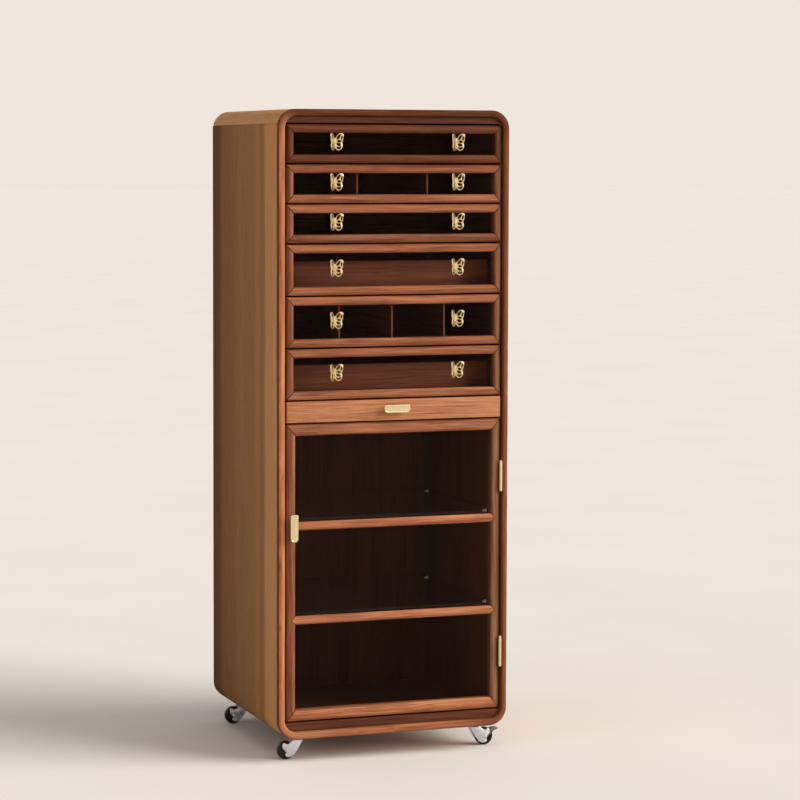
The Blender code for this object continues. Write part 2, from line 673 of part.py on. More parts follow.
def make_butterfly():
    """Two pierced wings in a V on a rounded body, with flange, bolt and nut; origin on the pane."""
    behind = GLASS_T + GAP
    profile = ((0.0, -WING_ROOT), (POST_R, -WING_ROOT), (POST_R, -GAP - FLANGE_T),
               (FLANGE_R, -GAP - FLANGE_T), (FLANGE_R, -GAP), (BOLT_R, -GAP), (BOLT_R, behind),
               (NUT_R, behind), (NUT_R, behind + NUT_T), (0.0, behind + NUT_T))
    along_y = Matrix.Rotation(math.radians(-90), 4, "X")
    pull = piece("butterfly", turned_mesh("butterfly", profile, FINE_STEPS, along_y), BRASS)
    bm = bmesh.new()
    bmesh.ops.create_uvsphere(bm, u_segments=FINE_STEPS, v_segments=6, radius=1.0)
    bmesh.ops.scale(bm, vec=(PULL_BODY_R, PULL_BODY_R, PULL_BODY_H / 2), verts=bm.verts)
    middle = (0.0, -WING_ROOT, -PULL_BODY_DROP)
    join(pull, cutter("butterfly_body", mesh_from("butterfly_body", bm), middle))
    for side in (-1, 1):
        loops = [[(side * u * WING_REACH, v * WING_H) for u, v in loop]
                 for loop in (WING_SHARES,) + WING_CELL_SHARES]
        turn = Matrix.Rotation(-side * WING_RISE, 4, "Z") @ UPRIGHT_X
        wing = flat_mesh(f"wing_{side}", loops, WING_T, turn)
        join(pull, cutter(f"butterfly_wing_{side}", wing, (0.0, -WING_ROOT, 0.0)))
    bpy.context.view_layer.update()
    shaped = pull.evaluated_get(bpy.context.evaluated_depsgraph_get())
    mesh = bpy.data.meshes.new_from_object(shaped)
    mesh.name = "butterfly_pull"
    for tool in [mod.object for mod in pull.modifiers]:
        bpy.data.objects.remove(tool, do_unlink=True)
    bpy.data.objects.remove(pull, do_unlink=True)
    return mesh


def build_hinge(name, centre_z):
    """Butt hinge: case leaf with end knuckles and pin, door leaf with the middle knuckle."""
    axis = (HINGE_X, HINGE_Y, centre_z)
    half = HINGE_H / 2
    middle = half * KNUCKLE_SHARE
    near = KNUCKLE_R + LEAF_CLEAR
    profile = ((0.0, half + HINGE_TIP_H), (HINGE_TIP_R, half + HINGE_TIP_H / 2),
               (KNUCKLE_R, half), (KNUCKLE_R, middle + GAP), (HINGE_PIN_R, middle + GAP),
               (HINGE_PIN_R, -middle - GAP), (KNUCKLE_R, -middle - GAP), (KNUCKLE_R, -half),
               (HINGE_TIP_R, -half - HINGE_TIP_H / 2), (0.0, -half - HINGE_TIP_H))
    barrel = turned_mesh(name + "_pin", profile, TURN_STEPS)
    case_leaf = piece(name + "_case_leaf", barrel, BRASS, axis, True)
    leaf_x = OPENING_HALF - GAP - LEAF_T / 2
    outline = [(LEAF_ROOT, -half), (LEAF_L, -half), (LEAF_L, half), (LEAF_ROOT, half),
               (LEAF_ROOT, middle + GAP), (near, middle + GAP),
               (near, -middle - GAP), (LEAF_ROOT, -middle - GAP)]
    sheet = flat_mesh(name + "_case_sheet", [outline], LEAF_T, UPRIGHT_Y)
    join(case_leaf, cutter(name + "_case_sheet", sheet, (leaf_x, HINGE_Y, centre_z)))

    tube_half = middle - GAP
    bore_r = HINGE_PIN_R + HINGE_PIN_AIR
    profile = ((bore_r, tube_half), (KNUCKLE_R, tube_half), (KNUCKLE_R, -tube_half),
               (bore_r, -tube_half))
    tube = turned_mesh(name + "_tube", profile, TURN_STEPS, bored=True)
    door_leaf = piece(name + "_door_leaf", tube, BRASS, axis, True)
    leaf_x = FRONT_W / 2 + GAP + LEAF_T / 2
    outline = [(near, -half), (LEAF_L, -half), (LEAF_L, half), (near, half),
               (near, tube_half), (LEAF_ROOT, tube_half), (LEAF_ROOT, -tube_half),
               (near, -tube_half)]
    sheet = flat_mesh(name + "_door_sheet", [outline], LEAF_T, UPRIGHT_Y)
    join(door_leaf, cutter(name + "_door_sheet", sheet, (leaf_x, HINGE_Y, centre_z)))


def build_door():
    centre_z = DOOR_LOW_Z + DOOR_H / 2
    profile = drawer_profile(DOOR_MEMBER, DOOR_EDGE_R)
    mesh = ring_mesh("door_frame", profile, FRONT_W, DOOR_H, FRONT_W / 2, 1)
    mesh.transform(Matrix.Translation((-HINGE_X, FACE_Y - HINGE_Y, 0.0)))
    frame = piece("door_frame", mesh, FRONT_WOOD, (HINGE_X, HINGE_Y, centre_z))
    section = [(distance - BAR_H / 2, depth + BAR_SINK)
               for distance, depth in crowned_edge(BAR_H, BAR_H / 2)]
    section += [(BAR_H / 2, GLASS_SET - BAR_BED), (-BAR_H / 2, GLASS_SET - BAR_BED)]
    length = FRONT_W - 2 * DOOR_MEMBER + 2 * BAR_TENON
    for n, bar_z in enumerate(BAR_CENTRES):
        bar = prism_mesh(f"glazing_bar_{n}", section, length)
        join(frame, cutter(f"glazing_bar_{n}", bar, (0.0, FACE_Y, bar_z)))
    build_pane("door_glass", DOOR_H, DOOR_MEMBER, centre_z)
    tab_pull("door_handle", False,
             (-FRONT_W / 2 + DOOR_MEMBER / 2, FACE_Y, BAR_CENTRES[1] - DOOR_PULL_DROP))
    build_hinge("hinge_upper", DOOR_TOP_Z - HINGE_INSET)
    build_hinge("hinge_lower", DOOR_LOW_Z + HINGE_INSET)
    block("catch_plate", (STRIKE_W, STRIKE_T, STRIKE_H), STEEL,
          (CATCH_X, FACE_Y + FRAME_T + GAP + STRIKE_T / 2,
           DOOR_TOP_Z - STRIKE_DROP - STRIKE_H / 2))


def build_caster(name, x, y, trail_side):
    """Swivel fork with stem and axle, and its wheel; the wheel trails to one side."""
    sides = [(trail_side * u * FORK_REACH, v * FORK_H) for u, v in FORK_SHARES]
    fork = piece(name + "_fork", flat_mesh(name + "_fork", [sides], FORK_W, UPRIGHT_X), ZINC,
                 (x, y, 0.0))
    slot_half = FORK_W / 2 - FORK_PLATE_T
    reach = FORK_REACH + OVERRUN
    cut(fork, cutter(name + "_slot", box_mesh(name + "_slot", [
        ((-reach, -slot_half, -OVERRUN), (reach, slot_half, FORK_H - FORK_CROWN_T))]), (x, y, 0.0)))
    bearing_top = CASTER_H - GAP
    profile = ((0.0, bearing_top + STEM_L), (STEM_R, bearing_top + STEM_L),
               (STEM_R, bearing_top), (BEARING_R, bearing_top),
               (BEARING_R, FORK_H - FORK_CROWN_T / 3), (0.0, FORK_H - FORK_CROWN_T / 3))
    stem = turned_mesh(name + "_stem", profile, TURN_STEPS)
    join(fork, cutter(name + "_stem", stem, (x, y, 0.0)))
    half = FORK_W / 2
    inner_head = half - FORK_PLATE_T / 2
    profile = ((0.0, half + AXLE_HEAD_T), (AXLE_HEAD_R, half + AXLE_HEAD_T),
               (AXLE_HEAD_R, inner_head), (AXLE_R, inner_head), (AXLE_R, -inner_head),
               (AXLE_HEAD_R, -inner_head), (AXLE_HEAD_R, -half - AXLE_HEAD_T),
               (0.0, -half - AXLE_HEAD_T))
    axle = turned_mesh(name + "_axle", profile, TURN_STEPS, UPRIGHT_X)
    place = (x + trail_side * CASTER_TRAIL, y, AXLE_H)
    join(fork, cutter(name + "_axle", axle, place))

    width, tread = WHEEL_W / 2, TREAD_W / 2
    side_r = WHEEL_R - TREAD_DROP
    profile = ((WHEEL_BORE_R, width), (side_r, width), (WHEEL_R, tread), (WHEEL_R, -tread),
               (side_r, -width), (WHEEL_BORE_R, -width))
    wheel = turned_mesh(name + "_wheel", profile, WHEEL_STEPS, UPRIGHT_X, bored=True,
                        shift=math.pi / WHEEL_STEPS)
    piece(name + "_wheel", wheel, BLACK_WHEEL, place)
    if trail_side > 0:
        sides = [(u * BRAKE_REACH, v * BRAKE_H) for u, v in BRAKE_SHARES]
        brake = piece(name + "_brake", flat_mesh(name + "_brake", [sides], BRAKE_W, UPRIGHT_X),
                      ZINC, place)
        slot = BRAKE_SLOT_W / 2
        profile = ((0.0, slot), (BRAKE_SLOT_R, slot), (BRAKE_SLOT_R, -slot), (0.0, -slot))
        room = turned_mesh(name + "_wheel_room", profile, WHEEL_STEPS, UPRIGHT_X)
        cut(brake, cutter(name + "_wheel_room", room, place))
        long = BRAKE_W
        profile = ((0.0, long), (WHEEL_BORE_R, long), (WHEEL_BORE_R, -long), (0.0, -long))
        bore = turned_mesh(name + "_brake_bore", profile, TURN_STEPS, UPRIGHT_X)
        cut(brake, cutter(name + "_brake_bore", bore, place))


CASTERS = (
    ("caster_front_left", -CASTER_X, FRONT_Y + CASTER_FRONT_SET, -1),
    ("caster_front_right", CASTER_X, FRONT_Y + CASTER_FRONT_SET, 1),
    ("caster_back_left", -CASTER_X, BACK_Y - CASTER_BACK_SET, -1),
    ("caster_back_right", CASTER_X, BACK_Y - CASTER_BACK_SET, 1),
)

drawer_places = []
top = TOP_Z - BOARD - TOP_RAIL_H - REVEAL
for front_height in DRAWER_HEIGHTS:
    drawer_places.append((top - front_height, front_height))
    top -= front_height + REVEAL
RUNNER_CENTRES = [low + front_height / 2 for low, front_height in drawer_places]
RUNNER_CENTRES.append(TRAY_LOW_Z + TRAY_H / 2)

build_case()
butterfly = make_butterfly()
for index, (low, front_height) in enumerate(drawer_places):
    build_drawer(index + 1, low, front_height, butterfly)
build_tray()
build_door()
for caster in CASTERS:
    build_caster(*caster)
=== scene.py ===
"""Tall cabinet with glazed drawers and a glazed door on casters: fine pieces, finishes and stage.

Metres, +Z up, front towards -Y. Laid out as an add-on and run as a script.
"""
import math
from contextlib import contextmanager

import bmesh
import bpy
from mathutils import Euler, Matrix, Vector


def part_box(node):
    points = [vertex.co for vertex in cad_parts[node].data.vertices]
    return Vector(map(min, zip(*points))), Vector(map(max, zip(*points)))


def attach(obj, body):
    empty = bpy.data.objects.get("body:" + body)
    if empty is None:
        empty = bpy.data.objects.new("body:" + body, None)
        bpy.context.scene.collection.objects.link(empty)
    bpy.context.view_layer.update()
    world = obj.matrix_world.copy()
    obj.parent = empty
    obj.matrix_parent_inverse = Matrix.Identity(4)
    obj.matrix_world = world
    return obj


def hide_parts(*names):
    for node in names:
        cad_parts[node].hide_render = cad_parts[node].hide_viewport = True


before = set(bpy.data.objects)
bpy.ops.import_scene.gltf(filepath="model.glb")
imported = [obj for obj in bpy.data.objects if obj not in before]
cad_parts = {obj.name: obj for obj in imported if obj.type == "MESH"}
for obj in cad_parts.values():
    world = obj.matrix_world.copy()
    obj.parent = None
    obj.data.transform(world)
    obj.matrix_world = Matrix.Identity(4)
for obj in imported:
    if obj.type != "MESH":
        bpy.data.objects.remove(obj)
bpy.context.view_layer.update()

bl_info = {
    "name": "Glazed Drawer Cabinet",
    "version": (1, 0, 0),
    "blender": (4, 5, 0),
    "location": "View3D > Sidebar > Cabinet",
    "description": "Models and finishes a tall cabinet with glazed drawers on casters",
    "category": "Add Mesh",
}


def linear(code):
    """Linear colour of an sRGB hex code."""
    parts = [int(code[i:i + 2], 16) / 255 for i in (1, 3, 5)]
    return [p / 12.92 if p <= 0.04045 else ((p + 0.055) / 1.055) ** 2.4 for p in parts]


# Places taken from the frame
BOX = {node: [Vector(corner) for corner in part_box(node)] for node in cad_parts}
FRONT_Y = BOX["front_rim"][0].y
BACK_Y = BOX["left_side"][1].y
BASE_Z = BOX["front_rim"][0].z
TOP_Z = BOX["front_rim"][1].z
HALF_W = BOX["front_rim"][1].x

# Drawers with a board across them, dividers in a drawer, and the hand of each caster
DRAWERS = range(1, 7)
CROSS_DRAWERS = (4, 6)
DIVIDERS = {2: 2, 5: 3}
CASTERS = {"front_left": -1, "front_right": 1, "back_left": -1, "back_right": 1}

# Air between fitted pieces, how near counts as touching and how near points are merged
GAP = 0.0003
TINY = 0.00002
WELD = 0.000002

# Boards of the case, and the rails bedded under the caps
BOARD = 0.015
CORNER_R = 0.038
INNER_R = CORNER_R - BOARD
INSIDE_LAP = 0.0005
CASE_RAIL_SET = 0.008
CASE_RAIL_T = 0.022
CASE_RAIL_EASE = 0.0012
HEAD_RAIL_H = 0.013
FOOT_RAIL_H = 0.019
BACK_SCREW_R = 0.0034
BACK_SCREW_IN = 0.012
BACK_SCREW_END = 0.050
BACK_SCREW_SPACES = 5
BACK_SCREW_TURN = 17

# Screw heads: dome as (share of the radius, height), and reach of the slots' arms
SCREW_DOME = ((0.96, 0.0003), (0.7, 0.0007), (0, 0.0009))
SLOT_SHARE = 0.62

# Spare length in the map of the rim's grain, between its halves, so that no tone runs over
RIM_SPARE = 0.10

# Panes in the grooves of their mouldings
CROWN_STEPS = 10
GLASS_SET = 0.006
GLASS_T = 0.003
GLASS_GROOVE = 0.005
GLASS_BITE = 0.0042

# Drawer boxes and the runners that carry them
BOX_SIDE_T = 0.008
BOX_BOTTOM_T = 0.006
RUNNER_H = 0.008
RUNNER_W = 0.006
RUNNER_END = 0.040
RUNNER_AIR = 0.0005
GROOVE_STOP = 0.010
GROOVE_D = 0.0045
DIVIDER_TRIM = 0.002
CROSS_SET = 0.036
CROSS_DROP = 0.036

# Shelf pins: profile of (radius, height), and how far they stand from the front and the back
SHELF_PIN_R = 0.0025
SHELF_PIN = (
    (0, -0.002), (SHELF_PIN_R, -0.002), (SHELF_PIN_R, 0.0014), (0.0042, 0.0014),
    (0.0042, 0.0022), (SHELF_PIN_R, 0.0026), (SHELF_PIN_R, 0.0074), (0.0020, 0.0080),
    (0, 0.0080),
)
SHELF_PIN_FRONT = 0.084
SHELF_PIN_BACK = 0.046

# Tray drawer
TRAY_FRONT_T = 0.018
TRAY_FRONT_EASE = 0.0019
TRAY_SIDE_EASE = 0.0008
TRAY_MARGIN = 0.0065
TRAY_CHEEK_IN = 0.0035
TRAY_LAP = 0.001

# Butterfly pulls: root of the wings before the glass, ringed body, post, bolt, washer and nut
WING_ROOT = 0.0057
WING_EASE = 0.0004
BODY_HALF = 0.0095
BODY_R = 0.0030
BODY_DROP = 0.0012
POST_FOOT = 0.0006
POST = (
    (0, -POST_FOOT), (0.0042, -POST_FOOT), (0.0050, 0.0), (0.0050, 0.0009), (0.0044, 0.0015),
    (0.0030, 0.0020), (0.0026, 0.0032), (0.0026, WING_ROOT), (0, WING_ROOT),
)
BOLT_HOLE_R = 0.0025
BOLT_R = 0.0017
BOLT_IN = 0.001
WASHER_R = 0.0036
WASHER_T = 0.0006
WASHER_EASE = 0.0001
NUT_R = 0.0034
NUT_T = 0.0025
NUT_EASE = 0.0003

# Tab pulls: the pressed plate, its dish, and the posts from the wood into its back
TAB_T = 0.003
TAB_EASE = 0.0006
TAB_DISH_SLOPE = 0.0007
TAB_DISH_EASE = 0.0008
TAB_AIR = 0.0115
TAB_POST_SHARE = 0.28
TAB_POST = (
    (0, 0), (0.0046, 0), (0.0046, 0.0006), (0.0040, 0.0012), (0.0028, 0.0020),
    (0.0025, 0.0050), (0.0028, 0.0085), (0.0036, 0.0122), (0, 0.0122),
)

# Glazing bars, and how far the tool for their notches stands out
BAR_T = 0.0055
NOTCH_PROUD = 0.001

# Hinges: place of the pin, knuckles with their turned tips, leaves and screws
HINGE_X = 0.23325
HINGE_SET = 0.0005
KNUCKLE_R = 0.0033
KNUCKLE_EASE = 0.0003
HINGE_PIN_R = 0.0015
TUBE_WALL_IN = 0.0004
TUBE_SHARE = 0.54
HINGE_TIP = ((0.0026, 0.0002), (0.0026, 0.0008), (0.0021, 0.0015), (0.0012, 0.0019), (0, 0.0020))
LEAF_PROUD = 0.0002
LEAF_T = 0.0012
LEAF_ROOT = 0.0024
LEAF_NEAR = 0.0040
LEAF_REACH = 0.0195
LEAF_LAP = 0.001
LEAF_EASE = 0.0003
LEAF_ROOT_EASE = 0.0002
LEAF_SCREW_SHARES = (-0.76, 0.0, 0.76)
LEAF_SCREW_STAGGER = 0.002
LEAF_SCREW_R = 0.0024
LEAF_SINK_R = 0.0027
LEAF_SINK_D = 0.0010
LEAF_SINK_PROUD = 0.0004

# Door catch: two pole pieces in a case, and a strike plate with one screw
CATCH_EASE = 0.0012
POLE_SHARES = (0.30, 0.62)
POLE_IN = 0.010
POLE_D = 0.004
POLE_PROUD = 0.0002
POLE_HALF = 0.0009
STRIKE_EASE = 0.0004
STRIKE_SCREW_R = 0.0026
STRIKE_SCREW_IN = 0.0006

# Casters: profiles are of (radius, height), or of (radius, depth under a face) where mirrored
FORK_TAIL = 0.011
FORK_REACH = 0.036
FORK_H = 0.043
FORK_W = 0.0214
FORK_T = 0.0019
FORK_EASE = 0.0005
CROWN_T = 0.003
CROWN_EASE = 0.0018
SWIVEL_RACE = (
    (0, 0.0415), (0.0106, 0.0415), (0.0112, 0.0425), (0.0112, 0.0440), (0.0100, 0.0452),
    (0.0092, 0.0456), (0.0092, 0.0462), (0.0104, 0.0466), (0.0110, 0.0472), (0.0110, 0.0497),
    (0.0045, 0.0497), (0.0040, 0.0503), (0.0040, 0.0612), (0.0034, 0.0617), (0, 0.0617),
)
AXLE_PROUD = 0.0008
AXLE_HEAD = (
    (0, 0), (0.0026, 0), (0.0038, 0.0002), (0.0042, 0.0006), (0.0042, 0.0014), (0.0026, 0.0014),
)
WHEEL_HALF = 0.0068
TYRE_WALL = ((0.0118, 0.0014), (0.0126, 0.0004), (0.0140, 0), (0.0158, 0), (0.0176, 0.0008))
TREAD_EASE = ((-0.0004, 0.0022), (0, 0.0034))
HUB_FACE = (
    (0.0030, 0), (0.0052, 0), (0.0056, 0.0004), (0.0058, 0.0020), (0.0070, 0.0026),
    (0.0108, 0.0026), (0.0119, 0.0014),
)
BRAKE_REACH = 0.029
BRAKE_H = 0.0164
BRAKE_W = 0.0168
BRAKE_EASE = 0.0005
BRAKE_ROOM_R = 0.0202
BRAKE_ROOM_HALF = 0.0071
BRAKE_BORE_R = 0.003
RIB_START = 0.0195
RIB_STEP = 0.0026
RIB_W = 0.0011
RIB_HALF = 0.0076
RIB_H = 0.0008
RIB_TOP = 0.0168
RIB_EASE = 0.0003

# Wing outline and its five openings, as shares of its reach and height
WING_SHARES = (
    (0.02, 0.22), (0.16, 0.25), (0.29, 0.36), (0.50, 0.460), (0.74, 0.498), (0.93, 0.465),
    (1.00, 0.38), (0.955, 0.25), (0.93, 0.10), (0.82, -0.05), (0.88, -0.17), (0.88, -0.28),
    (0.77, -0.39), (0.60, -0.465), (0.42, -0.497), (0.24, -0.45), (0.11, -0.39), (0.02, -0.37),
)
WING_CELL_SHARES = (
    ((0.22, 0.145), (0.26, 0.250), (0.48, 0.395), (0.67, 0.425), (0.65, 0.31), (0.41, 0.150)),
    ((0.68, 0.120), (0.70, 0.245), (0.77, 0.345), (0.89, 0.320), (0.875, 0.16), (0.765, 0.090)),
    ((0.30, 0.030), (0.44, 0.105), (0.66, 0.080), (0.76, 0.03), (0.62, -0.035), (0.39, -0.030)),
    ((0.21, -0.085), (0.38, -0.075), (0.63, -0.100), (0.71, -0.20), (0.54, -0.235),
     (0.27, -0.190)),
    ((0.21, -0.285), (0.36, -0.300), (0.53, -0.295), (0.75, -0.255), (0.72, -0.355),
     (0.47, -0.425)),
)
# Beads of the body: level as a share of half its length, and width as a share of its radius
BEAD_SHARES = (
    (-1.0, 0.0), (-0.86, 0.46), (-0.70, 0.74), (-0.62, 0.68), (-0.44, 0.90), (-0.36, 0.82),
    (-0.16, 0.98), (-0.08, 0.88), (0.14, 1.0), (0.34, 0.96), (0.46, 0.74), (0.54, 0.66),
    (0.72, 0.80), (0.88, 0.60), (0.97, 0.30), (1.0, 0.0),
)
# Fork side and brake lever side, as shares of their reach and height
FORK_SHARES = (
    (-0.25, 1.00), (0.28, 1.00), (0.40, 0.88), (0.60, 0.76), (0.72, 0.77), (0.84, 0.84),
    (0.93, 0.79), (0.95, 0.62), (0.88, 0.51), (0.78, 0.46), (0.71, 0.40), (0.70, 0.33),
    (0.77, 0.30), (0.78, 0.22), (0.70, 0.15), (0.47, 0.13), (0.27, 0.22), (0.04, 0.47),
    (-0.16, 0.77), (-0.25, 0.90),
)
BRAKE_SHARES = (
    (-0.19, 0.12), (-0.19, -0.12), (-0.07, -0.32), (0.10, -0.32), (0.69, 0.64), (1.00, 0.86),
    (1.00, 1.00), (0.59, 1.00), (-0.10, 0.34),
)


# Hand tools

def only(*objs):
    """Select just these objects, the first one active."""
    bpy.ops.object.select_all(action="DESELECT")
    for obj in objs:
        obj.select_set(True)
    bpy.context.view_layer.objects.active = objs[0]


@contextmanager
def editing(obj):
    """Edit mode with all of the mesh selected."""
    only(obj)
    bpy.ops.object.mode_set(mode="EDIT")
    bpy.ops.mesh.select_all(action="SELECT")
    yield
    bpy.ops.object.mode_set(mode="OBJECT")


def pick(obj, kind, test):
    """In edit mode, select the faces, edges or vertices that pass the test, and no others."""
    bpy.ops.mesh.select_mode(type=kind)
    bpy.ops.mesh.select_all(action="DESELECT")
    bm = bmesh.from_edit_mesh(obj.data)
    found = [p for p in {"FACE": bm.faces, "EDGE": bm.edges, "VERT": bm.verts}[kind] if test(p)]
    if not found:
        raise RuntimeError(f"{obj.name}: nothing to select")
    for part in found:
        part.select_set(True)
    bm.select_flush_mode()
    bmesh.update_edit_mesh(obj.data)


def middle(part):
    """Middle of an edge or face."""
    return sum((v.co for v in part.verts), Vector()) / len(part.verts)


def runs(edge, axis):
    """True where an edge runs along the axis, 0 for X to 2 for Z."""
    line = edge.verts[1].co - edge.verts[0].co
    return abs(line[axis]) > 0.999 * line.length


def named(name):
    """Name the active object and its mesh."""
    made = bpy.context.object
    made.name = name
    made.data.name = name
    return made


def applied(obj):
    """Put the object's place, turn and size into its mesh."""
    only(obj)
    bpy.ops.object.transform_apply(location=True, rotation=True, scale=True)
    return obj


def moved(obj, at=(0, 0, 0), turn=(0, 0, 0)):
    """Turn the object by degrees about X, Y and Z, and then move it."""
    obj.rotation_euler = Euler([math.radians(t) for t in turn])
    obj.location = at
    return applied(obj)


def copied(obj, name, at=(0, 0, 0), turn=(0, 0, 0)):
    """A copy with its own mesh."""
    only(obj)
    bpy.ops.object.duplicate()
    return moved(named(name), at, turn)


def removed(obj):
    """Take away a tool or pattern that has done its work."""
    bpy.data.objects.remove(obj, do_unlink=True)


def joined(name, parts):
    """Join the parts into one named object."""
    only(*parts)
    if len(parts) > 1:
        bpy.ops.object.join()
    return named(name)


def coated(obj, *finishes):
    """Give the object its finishes, the first on every face."""
    obj.data.materials.clear()
    for finish in finishes:
        obj.data.materials.append(finish)
    return obj


def cube(name, low, high):
    """Block between two corners."""
    low, high = Vector(low), Vector(high)
    bpy.ops.object.select_all(action="DESELECT")
    bpy.ops.mesh.primitive_cube_add(size=1, location=(low + high) / 2)
    made = named(name)
    made.scale = high - low
    return applied(made)


def board(name, low, high, edge, steps=2):
    """Board with eased edges."""
    made = cube(name, low, high)
    with editing(made):
        bpy.ops.mesh.bevel(offset=edge, segments=steps, affect="EDGES")
    return made


def rod(name, radius, low, high, steps=24, edge=0.0, edge_steps=2):
    """Upright round bar at X = Y = 0, its ends eased."""
    bpy.ops.object.select_all(action="DESELECT")
    bpy.ops.mesh.primitive_cylinder_add(vertices=steps, radius=radius, depth=high - low,
                                        location=(0, 0, (low + high) / 2))
    made = applied(named(name))
    if edge:
        with editing(made):
            pick(made, "EDGE", lambda e: not runs(e, 2))
            bpy.ops.mesh.bevel(offset=edge, segments=edge_steps, affect="EDGES")
    return made


def turned(name, profile, steps):
    """A point, extruded along a profile of (radius, height) and spun round Z."""
    bpy.ops.object.select_all(action="DESELECT")
    bpy.ops.mesh.primitive_plane_add(size=1)
    made = named(name)
    with editing(made):
        bpy.ops.mesh.merge(type="CENTER")
        bpy.ops.mesh.select_mode(type="VERT")
        bpy.ops.mesh.select_all(action="SELECT")
        bpy.ops.transform.translate(value=(profile[0][0], 0, profile[0][1]))
        for start, end in zip(profile, profile[1:]):
            bpy.ops.mesh.extrude_region_move(TRANSFORM_OT_translate={
                "value": (end[0] - start[0], 0, end[1] - start[1])})
        bpy.ops.mesh.select_all(action="SELECT")
        bpy.ops.mesh.spin(steps=steps, angle=2 * math.pi, center=(0, 0, 0), axis=(0, 0, 1))
        bpy.ops.mesh.select_all(action="SELECT")
        bpy.ops.mesh.remove_doubles(threshold=WELD)
        bpy.ops.mesh.normals_make_consistent(inside=False)
    return made


def plate(name, outlines, thickness, edge, smooth=True):
    """Upright plate from outlines of (X, Z) points, the first outside and the rest openings."""
    curve = bpy.data.curves.new(name, "CURVE")
    curve.dimensions = "2D"
    curve.fill_mode = "BOTH"
    curve.resolution_u = 4 if smooth else 1
    for outline in outlines:
        spline = curve.splines.new("BEZIER")
        spline.bezier_points.add(len(outline) - 1)
        spline.use_cyclic_u = True
        for point, (x, z) in zip(spline.bezier_points, outline):
            point.co = (x, z, 0)
            point.handle_left_type = point.handle_right_type = "AUTO" if smooth else "VECTOR"
    curve.extrude = thickness / 2 - edge
    curve.bevel_depth = edge
    curve.bevel_resolution = 1
    curve.offset = -edge
    made = bpy.data.objects.new(name, curve)
    bpy.context.collection.objects.link(made)
    only(made)
    bpy.ops.object.convert(target="MESH")
    made = named(name)
    with editing(made):
        bpy.ops.mesh.remove_doubles(threshold=WELD)
        bpy.ops.mesh.normals_make_consistent(inside=False)
    return moved(made, turn=(90, 0, 0))


def mirrored(half, face):
    """Profile of a face, given as (radius, depth under it), and of its mirror image."""
    return [(r, half - d) for r, d in face] + [(r, d - half) for r, d in reversed(face)]


def carved(target, *tools):
    """Cut each tool out of the target, and take the tools away."""
    for tool in tools:
        only(target)
        mod = target.modifiers.new("cut", "BOOLEAN")
        mod.operation = "DIFFERENCE"
        mod.solver = "EXACT"
        mod.object = tool
        bpy.ops.object.modifier_apply(modifier=mod.name)
        removed(tool)
    return target


def keep_below(co, normal):
    """In edit mode, saw the mesh at a plane, drop what lies in front of it and close the cut."""
    bpy.ops.mesh.select_all(action="SELECT")
    bpy.ops.mesh.bisect(plane_co=co, plane_no=normal, use_fill=True, clear_outer=True)


def sawn(obj, *planes):
    """Saw the piece at planes of (point, normal)."""
    with editing(obj):
        for co, normal in planes:
            keep_below(co, normal)
    return obj


def on_plane(co, normal):
    """Test for edges that lie in a plane."""
    co, normal = Vector(co), Vector(normal).normalized()
    return lambda e: all(abs((v.co - co).dot(normal)) < TINY for v in e.verts)


def done(obj, body, nodes=(), angle=35):
    """Shade the piece, let it ride on its body and hide the CAD nodes that it stands for."""
    only(obj)
    bpy.ops.object.shade_smooth_by_angle(angle=math.radians(angle))
    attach(obj, body)
    if nodes:
        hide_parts(*nodes)
    return obj


# Materials

def add(tree, kind, inputs=None, stops=None, **settings):
    """Add one node with its settings; inputs are values or the sockets that feed them."""
    node = tree.nodes.new(kind)
    for key, value in settings.items():
        setattr(node, key, value)
    for key, value in (inputs or {}).items():
        if isinstance(value, bpy.types.NodeSocket):
            tree.links.new(value, node.inputs[key])
        else:
            node.inputs[key].default_value = value
    if stops:
        points = node.color_ramp.elements
        points.remove(points[-1])
        points[0].position = stops[0][0]
        points[0].color = (*stops[0][1], 1)
        for place, tone in stops[1:]:
            points.new(place).color = (*tone, 1)
    return node


def blank(name):
    """A material with only its Principled shader."""
    made = bpy.data.materials.new(name)
    made.use_nodes = True
    return made, made.node_tree, made.node_tree.nodes["Principled BSDF"]


GREY = {share: (share, share, share) for share in (0.45, 0.62, 1.0)}
MIX_A, MIX_B, MIX_OUT = 6, 7, 2
# Width and length of the streaks, fibres, dark lines and pores in the wood
STREAK = (0.0023, 0.20)
FIBRE = (0.0011, 0.080)
DARK_LINE = (0.0036, 0.26)
PORE = (0.0005, 0.005)
# The figure's bands are this many times as long as they are wide
FIGURE_SHARE = 18
# The grain wanders by about 4 mm, a quarter of the noise's 16 mm, over some 250 mm
SWAY = 0.016
SWAY_LENGTH = 0.25
# Depth of the relief in wood, and in metal and moulded skins
WOOD_RELIEF = 0.0003
SKIN_RELIEF = 0.0002
DUST_PATCH = 0.009


